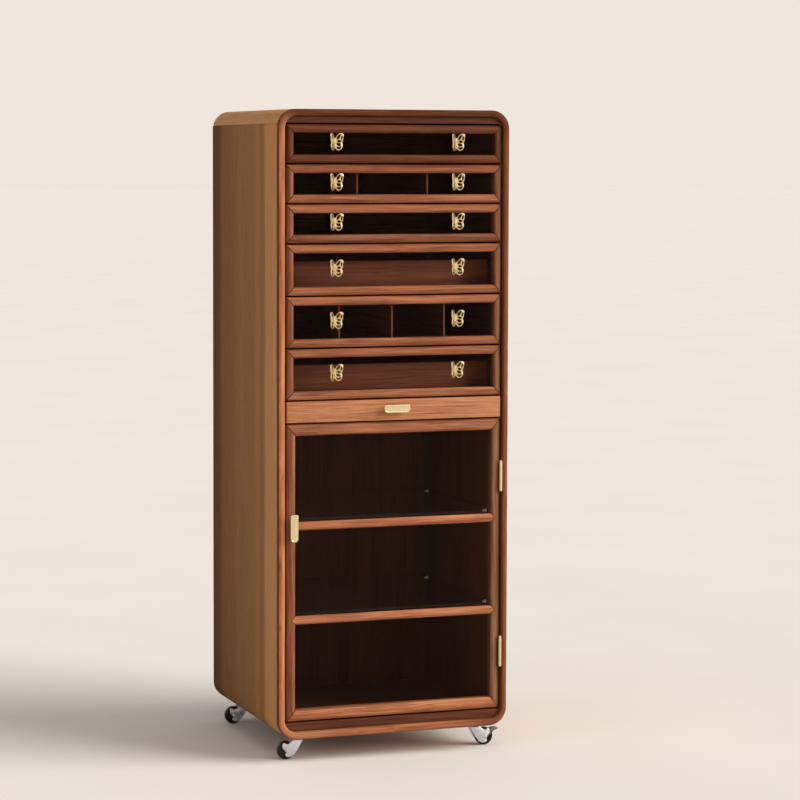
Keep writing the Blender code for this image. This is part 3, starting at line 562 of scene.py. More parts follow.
def wood(name, grain, tones, gloss=0.48, tints=None, figure=0.013, follow=False, calm=0.0,
         sheen=0.12):
    """Hardwood, planed, sanded and oiled: streaks along the grain, fine pores and a soft sheen.

    grain is the axis the fibres run along. figure is the width of its bands. tints are an
    axis, its two ends and stops of a tone between them, for pieces of several boards and for
    painted light and shade along a piece. follow reads the piece's UV map, in metres along its
    length. calm draws the dark and light streaks towards the main tone. gloss is how rough the
    skin is, sheen how much it shines.
    """
    made, tree, shader = blank(name)
    dark, mid, pale = tones
    dark, pale = ([calm * m + (1 - calm) * part for m, part in zip(mid, tone)]
                  for tone in (dark, pale))
    if follow:
        place = add(tree, "ShaderNodeUVMap", uv_map="along").outputs["UV"]
    else:
        place = add(tree, "ShaderNodeTexCoord").outputs["Object"]
    # The grain wanders as in a sawn board
    sway = add(tree, "ShaderNodeTexNoise", {"Vector": place, "Scale": 1 / SWAY_LENGTH,
                                            "Detail": 2.0})
    centred = add(tree, "ShaderNodeVectorMath",
                  {0: sway.outputs["Color"], 1: (0.5, 0.5, 0.5)}, operation="SUBTRACT")
    shift = add(tree, "ShaderNodeVectorMath", {0: centred.outputs[0], "Scale": SWAY},
                operation="SCALE")
    swayed = add(tree, "ShaderNodeVectorMath", {0: place, 1: shift.outputs[0]},
                 operation="ADD").outputs[0]

    def layer(width, length, detail, distortion):
        """Streaks of a real width and length in metres."""
        scale = [1 / width] * 3
        scale[grain] = 1 / length
        fitted = add(tree, "ShaderNodeMapping", {"Vector": swayed, "Scale": scale})
        return add(tree, "ShaderNodeTexNoise", {
            "Vector": fitted.outputs[0], "Scale": 1.0, "Detail": detail, "Roughness": 0.6,
            "Distortion": distortion}).outputs["Fac"]

    broad = layer(figure, figure * FIGURE_SHARE, 2.0, 0.3)
    streak = layer(*STREAK, 3.0, 0.4)
    fibre = layer(*FIBRE, 2.0, 0.2)
    line = layer(*DARK_LINE, 1.0, 0.5)
    pore = layer(*PORE, 1.0, 0.0)
    both = add(tree, "ShaderNodeMath", {0: broad, 1: 0.38}, operation="MULTIPLY").outputs[0]
    both = add(tree, "ShaderNodeMath", {0: streak, 1: 0.62, 2: both},
               operation="MULTIPLY_ADD").outputs[0]
    tone = add(tree, "ShaderNodeValToRGB", {"Fac": both}, stops=(
        (0.37, dark), (0.49, mid), (0.62, pale))).outputs["Color"]
    soft = add(tree, "ShaderNodeValToRGB", {"Fac": fibre}, stops=(
        (0.34, GREY[0.62]), (0.54, GREY[1.0]))).outputs["Color"]
    tone = add(tree, "ShaderNodeMix", {0: 0.6 * (1 - calm / 2), MIX_A: tone, MIX_B: soft},
               data_type="RGBA", blend_type="MULTIPLY").outputs[MIX_OUT]
    dark_line = add(tree, "ShaderNodeValToRGB", {"Fac": line}, stops=(
        (0.58, GREY[1.0]), (0.66, GREY[0.45]))).outputs["Color"]
    tone = add(tree, "ShaderNodeMix", {0: 0.55 * (1 - calm), MIX_A: tone, MIX_B: dark_line},
               data_type="RGBA", blend_type="MULTIPLY").outputs[MIX_OUT]
    open_pore = add(tree, "ShaderNodeValToRGB", {"Fac": pore}, stops=(
        (0.60, GREY[1.0]), (0.70, GREY[0.45]))).outputs["Color"]
    tone = add(tree, "ShaderNodeMix", {0: 0.5 * (1 - calm / 2), MIX_A: tone, MIX_B: open_pore},
               data_type="RGBA", blend_type="MULTIPLY").outputs[MIX_OUT]
    if tints:
        axis, start, end, stops = tints
        apart = add(tree, "ShaderNodeSeparateXYZ", {0: swayed})
        reach = add(tree, "ShaderNodeMapRange", {
            "Value": apart.outputs[axis], "From Min": start, "From Max": end})
        stave = add(tree, "ShaderNodeValToRGB", {"Fac": reach.outputs[0]}, stops=stops)
        tone = add(tree, "ShaderNodeMix", {0: 1.0, MIX_A: tone, MIX_B: stave.outputs["Color"]},
                   data_type="RGBA", blend_type="MULTIPLY").outputs[MIX_OUT]
    rough = add(tree, "ShaderNodeMapRange", {
        "Value": fibre, "From Min": 0.3, "From Max": 0.7,
        "To Min": gloss + 0.10, "To Max": gloss - 0.06}).outputs[0]
    relief = add(tree, "ShaderNodeMath", {0: streak, 1: 0.6, 2: fibre},
                 operation="MULTIPLY_ADD").outputs[0]
    relief = add(tree, "ShaderNodeMath", {0: open_pore, 1: 0.8, 2: relief},
                 operation="MULTIPLY_ADD").outputs[0]
    bump = add(tree, "ShaderNodeBump", {"Height": relief, "Strength": 0.2,
                                        "Distance": WOOD_RELIEF})
    shader.inputs["Specular IOR Level"].default_value = sheen
    for key, socket in (("Base Color", tone), ("Roughness", rough), ("Normal", bump.outputs[0])):
        tree.links.new(socket, shader.inputs[key])
    return made


def metal(name, tone, shade, rough, grit, strength, spread=0.10):
    """Metal with a slightly uneven skin; grit is the size of its marks in metres.

    spread is how far its roughness varies round rough.
    """
    made, tree, shader = blank(name)
    place = add(tree, "ShaderNodeTexCoord").outputs["Object"]
    cloud = add(tree, "ShaderNodeTexNoise", {
        "Vector": place, "Scale": 1 / (grit * 7), "Detail": 3.0}).outputs["Fac"]
    marks = add(tree, "ShaderNodeTexNoise", {
        "Vector": place, "Scale": 1 / grit, "Detail": 2.0}).outputs["Fac"]
    colour = add(tree, "ShaderNodeValToRGB", {"Fac": cloud}, stops=(
        (0.36, shade), (0.60, tone))).outputs["Color"]
    uneven = add(tree, "ShaderNodeMapRange", {
        "Value": marks, "From Min": 0.3, "From Max": 0.7,
        "To Min": rough - spread / 2, "To Max": rough + spread / 2}).outputs[0]
    bump = add(tree, "ShaderNodeBump", {"Height": marks, "Strength": strength,
                                        "Distance": SKIN_RELIEF})
    shader.inputs["Metallic"].default_value = 1.0
    for key, socket in (("Base Color", colour), ("Roughness", uneven),
                        ("Normal", bump.outputs[0])):
        tree.links.new(socket, shader.inputs[key])
    return made


def moulded(name, tone, worn, rough, grit, strength, gloss=0.5):
    """Moulded rubber or nylon: dull, with a fine even grit and dusty patches."""
    made, tree, shader = blank(name)
    place = add(tree, "ShaderNodeTexCoord").outputs["Object"]
    dust = add(tree, "ShaderNodeTexNoise", {
        "Vector": place, "Scale": 1 / DUST_PATCH, "Detail": 4.0}).outputs["Fac"]
    skin = add(tree, "ShaderNodeTexNoise", {
        "Vector": place, "Scale": 1 / grit, "Detail": 2.0}).outputs["Fac"]
    colour = add(tree, "ShaderNodeValToRGB", {"Fac": dust}, stops=(
        (0.45, tone), (0.72, worn))).outputs["Color"]
    uneven = add(tree, "ShaderNodeMapRange", {
        "Value": dust, "From Min": 0.3, "From Max": 0.7,
        "To Min": rough - 0.05, "To Max": rough + 0.10}).outputs[0]
    bump = add(tree, "ShaderNodeBump", {"Height": skin, "Strength": strength,
                                        "Distance": SKIN_RELIEF})
    shader.inputs["Specular IOR Level"].default_value = gloss
    for key, socket in (("Base Color", colour), ("Roughness", uneven),
                        ("Normal", bump.outputs[0])):
        tree.links.new(socket, shader.inputs[key])
    return made


def glass(name, tone, cover, rough=0.03, gloss=0.5):
    """Float glass, cut and arrised: clear, with a faint tint. cover is how much it hides."""
    made, _, shader = blank(name)
    shader.inputs["Base Color"].default_value = (*tone, 1)
    shader.inputs["Roughness"].default_value = rough
    shader.inputs["Alpha"].default_value = cover
    shader.inputs["Specular IOR Level"].default_value = gloss
    return made


FINISH = {}


# Settings

def size(name, description, default):
    """Setting for a length."""
    return bpy.props.FloatProperty(name=name, description=description, default=default,
                                   min=0.0, unit="LENGTH", subtype="DISTANCE", precision=5)


def colour(name, description, code):
    """Setting for a colour, from its sRGB hex code."""
    return bpy.props.FloatVectorProperty(name=name, description=description, size=3,
                                         default=linear(code), min=0.0, max=1.0,
                                         subtype="COLOR")


class CabinetSizes(bpy.types.PropertyGroup):
    """Sizes that a user would change."""
    crown: size("Crown", "Rise of the drawer fronts over their edges", 0.0052)
    door_crown: size("Door crown", "Rise of the door's moulding over its edges", 0.0060)
    lean: bpy.props.FloatProperty(name="Lean", description="How far a crest sits to the glass",
                                  default=1.3, min=1.0, max=1.6)
    front_half: size("Front, half width", "Half the width of a moulded front", 0.2331)
    drawer_rail: size("Drawer rail", "Height of a drawer front's rails", 0.0172)
    drawer_stile: size("Drawer stile", "Width of a drawer front's stiles", 0.0150)
    door_rail: size("Door rail", "Height of the door's rails", 0.0235)
    door_stile: size("Door stile", "Width of the door's stiles", 0.0190)
    door_edge: size("Door edge", "Width of the rounding along the door's moulding", 0.0118)
    rim_width: size("Rim width", "Width of the rim's uprights", 0.0126)
    rim_head: size("Rim, head", "Height of the rim's upper run", 0.0143)
    rim_foot: size("Rim, foot", "Height of the rim's lower run", 0.0158)
    rim_outer: size("Rim, outer", "Radius along the rim's outer edge", 0.0068)
    rim_inner: size("Rim, inner", "Radius along the rim's inner edge", 0.0040)
    # The rim's dark outer ply is painted shade along its seam with the sides
    rim_shade_ply: size("Rim, outer ply", "Thickness of the rim's dark outer ply", 0.0010)
    bar: size("Glazing bar", "Height of the door's glazing bars", 0.0176)
    mitre: size("Mitre line", "Easing along each mitre", 0.0009)
    cap_seam: size("Cap seam", "Drop of the seam between top cap and sides", 0.030)
    edge: size("Board edge", "Easing along the edges of boards", 0.0008)
    arris: size("Arris", "Easing along the edges of the glass", 0.0004)
    wing_reach: size("Wing reach", "Reach of a butterfly wing from its root", 0.0212)
    wing_height: size("Wing height", "Height of a butterfly wing", 0.0354)
    wing_sheet: size("Wing sheet", "Thickness of a butterfly wing", 0.0019)
    wing_rise: bpy.props.FloatProperty(
        name="Wing rise", description="Angle of a wing from the glass",
        default=math.radians(50), subtype="ANGLE", unit="ROTATION")
    tab_height: size("Tab height", "Height of the tab pulls", 0.0162)
    tab_trim: size("Tab trim", "How far a tab stops inside its place at each end", 0.0008)
    tab_full: size("Tab, full corner", "Radius of the lower corners of a tab", 0.0066)
    tab_tight: size("Tab, tight corner", "Radius of the upper corners of a tab", 0.0036)
    tab_rim: size("Tab rim", "Width of the raised rim of the tab pulls", 0.0022)
    tab_dish: size("Tab dish", "Depth of the dish in the tab pulls", 0.0005)


class CabinetColours(bpy.types.PropertyGroup):
    """Colours that a user would change."""
    front_dark: colour("Front, dark", "Dark streaks of the fronts", "#783F2A")
    front_mid: colour("Front, middle", "Main tone of the fronts", "#A76542")
    front_pale: colour("Front, pale", "Light streaks of the fronts", "#C8845C")
    stile_dark: colour("Stile, dark", "Dark streaks of the stiles", "#6E3C27")
    stile_mid: colour("Stile, middle", "Main tone of the stiles", "#A05F40")
    stile_pale: colour("Stile, pale", "Light streaks of the stiles", "#C07D56")
    end_dark: colour("End grain, dark", "Dark pores of the end grain", "#2E160C")
    end_mid: colour("End grain, middle", "Main tone of the end grain", "#472414")
    end_pale: colour("End grain, pale", "Light parts of the end grain", "#5C3220")
    rim_dark: colour("Rim, dark", "Dark streaks of the rim", "#935331")
    rim_mid: colour("Rim, middle", "Main tone of the rim", "#BB754B")
    rim_pale: colour("Rim, pale", "Light streaks of the rim", "#D79869")
    # The rim's darker outer edge is painted shade along its seam with the sides
    rim_edge_dark: colour("Rim edge, dark", "Dark streaks of the rim's edge", "#4E2814")
    rim_edge_mid: colour("Rim edge, middle", "Main tone of the rim's edge", "#6A3A1E")
    rim_edge_pale: colour("Rim edge, pale", "Light streaks of the rim's edge", "#7C4826")
    # Rails under the caps: dark walnut, and painted shade of their recess behind the rim
    rail_dark: colour("Rail, dark", "Dark streaks of the rails", "#402010")
    rail_mid: colour("Rail, middle", "Main tone of the rails", "#582D1A")
    rail_pale: colour("Rail, pale", "Light streaks of the rails", "#6E3C24")
    side_dark: colour("Side, dark", "Dark streaks of the sides", "#A97447")
    side_mid: colour("Side, middle", "Main tone of the sides", "#BA8352")
    side_pale: colour("Side, pale", "Light streaks of the sides", "#C59263")
    tray_dark: colour("Tray, dark", "Dark streaks of the tray front", "#965A3A")
    tray_mid: colour("Tray, middle", "Main tone of the tray front", "#B2734D")
    tray_pale: colour("Tray, pale", "Light streaks of the tray front", "#C48660")
    inner_dark: colour("Inside, dark", "Dark streaks of the drawer boxes", "#341B10")
    inner_mid: colour("Inside, middle", "Main tone of the drawer boxes", "#5A3421")
    inner_pale: colour("Inside, pale", "Light streaks of the drawer boxes", "#744529")
    box_side_dark: colour("Box side, dark", "Dark streaks of the box sides", "#28150D")
    box_side_mid: colour("Box side, middle", "Main tone of the box sides", "#44281A")
    box_side_pale: colour("Box side, pale", "Light streaks of the box sides", "#593522")
    board_dark: colour("Front board, dark", "Dark streaks of the front boards", "#703A26")
    board_mid: colour("Front board, middle", "Main tone of the front boards", "#8C4E36")
    board_pale: colour("Front board, pale", "Light streaks of the front boards", "#9E5E44")
    floor_wood_dark: colour("Box floor, dark", "Dark streaks of the box floors", "#1E110B")
    floor_wood_mid: colour("Box floor, middle", "Main tone of the box floors", "#2C1A11")
    floor_wood_pale: colour("Box floor, pale", "Light streaks of the box floors", "#3A2418")
    cast_brass: colour("Cast brass", "Brass of the butterflies", "#EFDCB0")
    cast_shade: colour("Cast brass, shaded", "Cast brass in its hollows", "#D8BF8E")
    brass: colour("Brass", "Polished brass of the tabs and hinges", "#E2CDA6")
    brass_shade: colour("Brass, shaded", "Brass where it has dulled", "#DCC59C")
    zinc: colour("Zinc", "Zinc plate on the casters", "#D3D3D9")
    zinc_shade: colour("Zinc, shaded", "Zinc plate where it has dulled", "#C0C0C6")
    tyre: colour("Wheel", "Black wheels", "#140E0D")
    floor: colour("Floor", "Pale floor", "#EAE2D8")
    backdrop: colour("Backdrop", "Pale surroundings", "#EFE7DD")


# Tones of the staves in the sides, by shares of their depth from the front; both darken
# towards the back, the left-hand side most, which is painted shade
STAVE_AND_SHADE_SHARES = {
    "left": ((0.00, "#FFFFFF"), (0.19, "#F8F6F4"), (0.22, "#C8C4B8"), (0.26, "#C0BEB2"),
             (0.29, "#D0CABA"), (0.33, "#CCC8B8"), (0.37, "#BCBBB0"), (0.60, "#B7B6AC"),
             (0.68, "#AFA16E"), (0.84, "#A69866"), (0.90, "#7E672D"), (1.00, "#705E2A")),
    "right": ((0.00, "#FFFFFF"), (0.19, "#F8F6F4"), (0.205, "#DAD6CE"), (0.35, "#E0DCD4"),
              (0.365, "#D0CCC6"), (0.61, "#CECAC4"), (0.625, "#DCD8D0"), (0.84, "#D8D4CC"),
              (0.855, "#C8C0B6"), (1.00, "#C2BAB0")),
}
# Tones of the stiles beside the door, the lower drawers and the top drawer, all painted
# light: shade on the shaded flanks of their rounded faces, deeper on the right-hand stiles;
# the door's lightest, a painted reflection of the floor; the top drawer's darkest, painted shade
STILE_SHADE_TONES = {"left": ("#E0E2E4", "#D4D4D6", "#9A8E82"),
               "right": ("#CCDDE8", "#C2CCD0", "#988E86")}
# Painted light on a foot rail, darker on the third drawer (painted shadow) and lighter on the
# sixth, runs this high from the foot of its front, and fades out above and below
PAINTED_RAIL_BAND = 0.018
PAINTED_RAIL_FADE = 0.004
# A change of painted tone between two fronts, as shares of the case height
BETWEEN_SHARE = 0.004
FADE_SHARE = 0.003


def make_finishes(c):
    """One material for each real finish and run of its grain."""
    make_front_woods(c)
    make_rim_woods(c)
    make_case_woods(c)
    make_drawer_woods(c)
    make_glass()
    make_metals(c)
    make_rubber_and_nylon(c)


def stock(c, kind):
    """Dark, middle and pale tone of a wood."""
    return [tuple(getattr(c, f"{kind}_{tone}")) for tone in ("dark", "mid", "pale")]


def height_share(node, end, shift=0.0):
    """Share of the case height at one end of a piece, some metres higher."""
    return (BOX[node][end].z + shift - BASE_Z) / (TOP_Z - BASE_Z)


def tones_of_height(*stops):
    """Tones up the case, of boards and painted light: stops of (share of its height, code)."""
    return "Z", BASE_Z, TOP_Z, [(place, linear(code)) for place, code in stops]


def make_front_woods(c):
    """Oiled walnut, reddish brown with dark streaks, for rails that lie and stiles that stand.

    Up the case their tones are painted light: the top front darkest, painted shade, and the
    door lightest, a painted reflection of the floor.
    """
    door_top, first_foot = height_share("door_frame", 1), height_share("drawer_1_frame", 0)
    under_first = first_foot - BETWEEN_SHARE - FADE_SHARE
    sixth, third = "drawer_6_frame", "drawer_3_frame"
    # Painted light up the rails: lightest over the door, a painted reflection of the floor; a
    # darker band on the third drawer's foot rail, painted shadow; a lighter band on the sixth's,
    # painted light; the top front darkest, painted shade
    rails = tones_of_height(
        (0.0, "#FFFFFF"), (door_top * 0.8, "#FCFAF8"), (door_top, "#DCDADA"),
        (height_share(sixth, 0), "#EEF0F2"), (height_share(sixth, 0, PAINTED_RAIL_BAND), "#EEF0F2"),
        (height_share(sixth, 0, PAINTED_RAIL_BAND + PAINTED_RAIL_FADE), "#E0D9D2"),
        (height_share(third, 0, -PAINTED_RAIL_FADE), "#E0D9D2"),
        (height_share(third, 0), "#C2C0C4"), (height_share(third, 0, PAINTED_RAIL_BAND), "#C2C0C4"),
        (height_share(third, 0, PAINTED_RAIL_BAND + PAINTED_RAIL_FADE), "#E0D9D2"), (under_first, "#E0D9D2"),
        (first_foot - BETWEEN_SHARE, "#A4907E"), (height_share("drawer_1_frame", 1), "#8F7C66"),
        (1.0, "#8F7C66"))
    FINISH["walnut_rail"] = wood("oiled_walnut_rail", 0, stock(c, "front"), tints=rails,
                                 calm=0.2)
    # The left-hand and right-hand stiles carry their own painted shade, deeper on the right
    for side, (low, mid, top) in STILE_SHADE_TONES.items():
        stiles = tones_of_height(
            (0.0, low), (door_top, low), (door_top + BETWEEN_SHARE, mid), (under_first, mid),
            (first_foot - BETWEEN_SHARE, top), (1.0, top))
        FINISH[f"walnut_stile_{side}"] = wood(f"oiled_walnut_stile_{side}", 2, stock(c, "stile"),
                                              tints=stiles, calm=0.25)
    # End grain drinks the oil and turns dark, which draws a thin line along each mitre
    FINISH["end_grain"] = wood("oiled_walnut_end_grain", 1, stock(c, "end"), figure=0.004,
                               calm=0.5, sheen=0.05)


def make_rim_woods(c):
    """Bent walnut lipping: the grain follows the rim round its corners, darker above.

    Its outer edge is toned darker still: painted shade along its seam with the sides.
    """
    turn = CORNER_R * math.pi / 2
    half_round = 2 * (HALF_W - CORNER_R) + (TOP_Z - BASE_Z - 2 * CORNER_R) + 2 * turn
    foot, head = HALF_W - CORNER_R + turn, half_round - (HALF_W - CORNER_R) - turn
    rim_tones = []
    whole_round = 2 * half_round + RIM_SPARE
    for start, upright, corner in ((0.0, "#AA9B93", "#9E8B82"),
                                   (half_round + RIM_SPARE, "#FFFFFF", "#E4DEDA")):
        for reach, tone in ((0.0, "#DCD6D2"), (foot * 0.45, "#D4CCC6"),
                            (foot * 0.75, corner), (foot * 1.1, upright),
                            (head * 0.98, upright), (head + turn * 0.9, "#7B6149"),
                            (half_round + RIM_SPARE * 0.5, "#7B6149")):
            place = (start + reach - (RIM_SPARE * 0.4 if reach == 0.0 else 0.0)) / whole_round
            rim_tones.append((min(max(place, 0.0), 1.0), linear(tone)))
    FINISH["walnut_lipping"] = wood("bent_walnut_lipping", 0, stock(c, "rim"), follow=True,
                                    calm=0.2, tints=("X", 0.0, whole_round, rim_tones))
    FINISH["lipping_edge"] = wood("dark_walnut_lipping_edge", 0, stock(c, "rim_edge"),
                                  follow=True, calm=0.4, sheen=0.02)


def make_case_woods(c):
    """Rails under the caps, sides, top board and the walnut inside."""
    # The rails under the caps: dark walnut, and painted shade of their recess behind the rim
    FINISH["walnut_case_rail"] = wood("oiled_walnut_case_rail", 0, stock(c, "rail"), calm=0.2)
    # Sides glued up from staves of light walnut, each of its own tone, with a soft sheen; both
    # darken towards the back, the left-hand side most, in painted shade
    for side, staves in STAVE_AND_SHADE_SHARES.items():
        stops = [(share, linear(code)) for share, code in staves]
        FINISH[f"side_staves_{side}"] = wood(
            f"light_walnut_staves_{side}", 2, stock(c, "side"), gloss=0.55,
            tints=("Y", FRONT_Y, BACK_Y, stops), figure=0.026, calm=0.6, sheen=0.02)
    FINISH["cap_board"] = wood("light_walnut_board", 1, stock(c, "side"), gloss=0.55,
                               figure=0.016, calm=0.55, sheen=0.04)
    FINISH["case_inside"] = wood("walnut_inside", 2, stock(c, "inner"), gloss=0.55, calm=0.5,
                                 figure=0.03)


def make_drawer_woods(c):
    """Front of the tray drawer, and the stained and planed wood of the drawer boxes.

    The dividers' front edges are toned lighter than their sides: painted light.
    """
    FINISH["cherry"] = wood("oiled_cherry_front", 0, stock(c, "tray"), figure=0.006, calm=0.2)
    FINISH["box_long"] = wood("stained_box_side", 1, stock(c, "box_side"), gloss=0.55)
    FINISH["box_cross"] = wood("stained_box_end", 0, stock(c, "inner"), gloss=0.55)
    FINISH["box_floor"] = wood("dark_stained_box_floor", 1, stock(c, "floor_wood"), gloss=0.6)
    # The dividers' front edges are toned lighter than their sides: painted light on the lit edges
    FINISH["box_edge"] = wood("planed_divider_edge", 2, stock(c, "board"), gloss=0.5, calm=0.5)
    FINISH["box_front_board"] = wood("planed_front_board", 0, stock(c, "board"), gloss=0.5,
                                     figure=0.02, calm=0.3)


def make_glass():
    """Float glass: thin and clear, with a smoky cut edge."""
    FINISH["pane"] = glass("float_glass_pane", linear("#261710"), 0.12, gloss=0.08)
    FINISH["door_pane"] = glass("float_glass_door_pane", linear("#201008"), 0.12, gloss=0.15)
    FINISH["shelf_glass"] = glass("float_glass_shelf", linear("#4A4440"), 0.06, gloss=0.12)
    FINISH["glass_edge"] = glass("float_glass_edge", linear("#5E5A54"), 0.16, rough=0.12,
                                 gloss=0.15)


def make_metals(c):
    """Cast brass keeps a fine sand grain; turned and pressed brass is polished."""
    FINISH["cast_brass"] = metal("cast_brass", tuple(c.cast_brass), tuple(c.cast_shade), 0.36,
                                 0.0011, 0.25)
    FINISH["brass"] = metal("polished_brass", tuple(c.brass), tuple(c.brass_shade), 0.30,
                            0.0006, 0.02, 0.04)
    FINISH["zinc"] = metal("zinc_plated_steel", tuple(c.zinc), tuple(c.zinc_shade), 0.33,
                           0.0012, 0.05)
    FINISH["steel"] = metal("nickel_plated_steel", linear("#B9B7B2"), linear("#94928E"), 0.28,
                            0.0007, 0.1)
    # Brake pedals of pressed steel, blackened
    FINISH["black_steel"] = metal("blackened_steel", linear("#6E6A6C"), linear("#4E4A4C"), 0.36,
                                  0.0007, 0.1)


def make_rubber_and_nylon(c):
    """Rubber of the tyres, and nylon of the shelf pins and the wheel hubs."""
    FINISH["tyre"] = moulded("moulded_rubber_tyre", tuple(c.tyre), linear("#1E1816"), 0.40,
                             0.0005, 0.2, 0.22)
    FINISH["pin"] = moulded("moulded_white_nylon", linear("#F2EEE8"), linear("#DAD6D0"), 0.30,
                            0.0006, 0.05)
    FINISH["hub"] = moulded("moulded_nylon_hub", linear("#1A1414"), linear("#241E1D"), 0.34,
                            0.0006, 0.15, 0.3)


# Case

def mitred_run(name, length, height, edge, crown, depth, finish, groove=True, lean=1.0):
    """A length of moulding along X: rounded front, glass groove on its upper side.

    lean over 1 sets the crest towards the glass.
    """
    stretch = edge / crown
    made = cube(name, (-length / 2, 0, -height / 2), (length / 2, depth * stretch, height / 2))
    with editing(made):
        for side, width in ((-1, lean), (1, 2 - lean)):
            pick(made, "EDGE", lambda e: (runs(e, 0) and middle(e).y < TINY
                                          and middle(e).z * side > height / 2 - TINY))
            bpy.ops.mesh.bevel(offset=min(edge * width, height / 2 * width - TINY),
                               segments=CROWN_STEPS, affect="EDGES", clamp_overlap=False)
        bpy.ops.mesh.select_all(action="SELECT")
        bpy.ops.transform.resize(value=(1, 1 / stretch, 1), center_override=(0, 0, 0))
        if groove:
            front, back = GLASS_SET - GAP, GLASS_SET + GLASS_T + GAP
            for level in (front, back):
                bpy.ops.mesh.select_all(action="SELECT")
                bpy.ops.mesh.bisect(plane_co=(0, level, 0), plane_no=(0, 1, 0))
            pick(made, "FACE", lambda f: f.normal.z > 0.99 and front < middle(f).y < back)
            bpy.ops.mesh.extrude_region_move(TRANSFORM_OT_translate={
                "value": (0, 0, -GLASS_GROOVE)})
    return coated(made, finish, FINISH["end_grain"])


def mitred_end(made, side, tip_z, turn, ease, tip=None):
    """Saw one end of a moulding at a slant through its tip and ease the cut, in end grain."""
    if tip is None:
        tip = max(v.co.x for v in made.data.vertices) * side
    co, normal = (tip, 0, tip_z), Vector((side, 0, turn)).normalized()
    with editing(made):
        keep_below(co, normal)
        pick(made, "EDGE", on_plane(co, normal))
        bpy.ops.mesh.bevel(offset=ease, segments=1, affect="EDGES")
        bm = bmesh.from_edit_mesh(made.data)
        for face in bm.faces:
            if face.select:
                face.material_index = 1
        bmesh.update_edit_mesh(made.data)


def moulded_front(name, low, high, rail, stile, edge, crown, sizes, notches=()):
    """Four mitred lengths of moulding round a pane; notches are cut out of the stiles."""
    parts = []
    centre = (low + high) / 2
    for kind, length, member, across, finish in (
            ("rail", high.x - low.x, rail, stile, FINISH["walnut_rail"]),
            ("stile", high.z - low.z, stile, rail, FINISH["walnut_stile_left"])):
        run = mitred_run(f"{name}_{kind}", length, member, min(edge, member / 2), crown,
                         high.y - low.y, finish, lean=sizes.lean)
        for side in (-1, 1):
            mitred_end(run, side, -member / 2, across / member, sizes.mitre)
        other = copied(run, f"{name}_{kind}_other")
        if kind == "rail":
            parts += [moved(run, (centre.x, low.y, low.z + rail / 2)),
                      moved(other, (centre.x, low.y, high.z - rail / 2), (0, 180, 0))]
        else:
            other.data.materials[0] = FINISH["walnut_stile_right"]
            parts += [moved(run, (low.x + stile / 2, low.y, centre.z), (0, 90, 0)),
                      moved(other, (high.x - stile / 2, low.y, centre.z), (0, -90, 0))]
            for upright in parts[-2:]:
                carved(upright, *(copied(tool, "notch_tool") for tool in notches))
    return joined(name, parts)


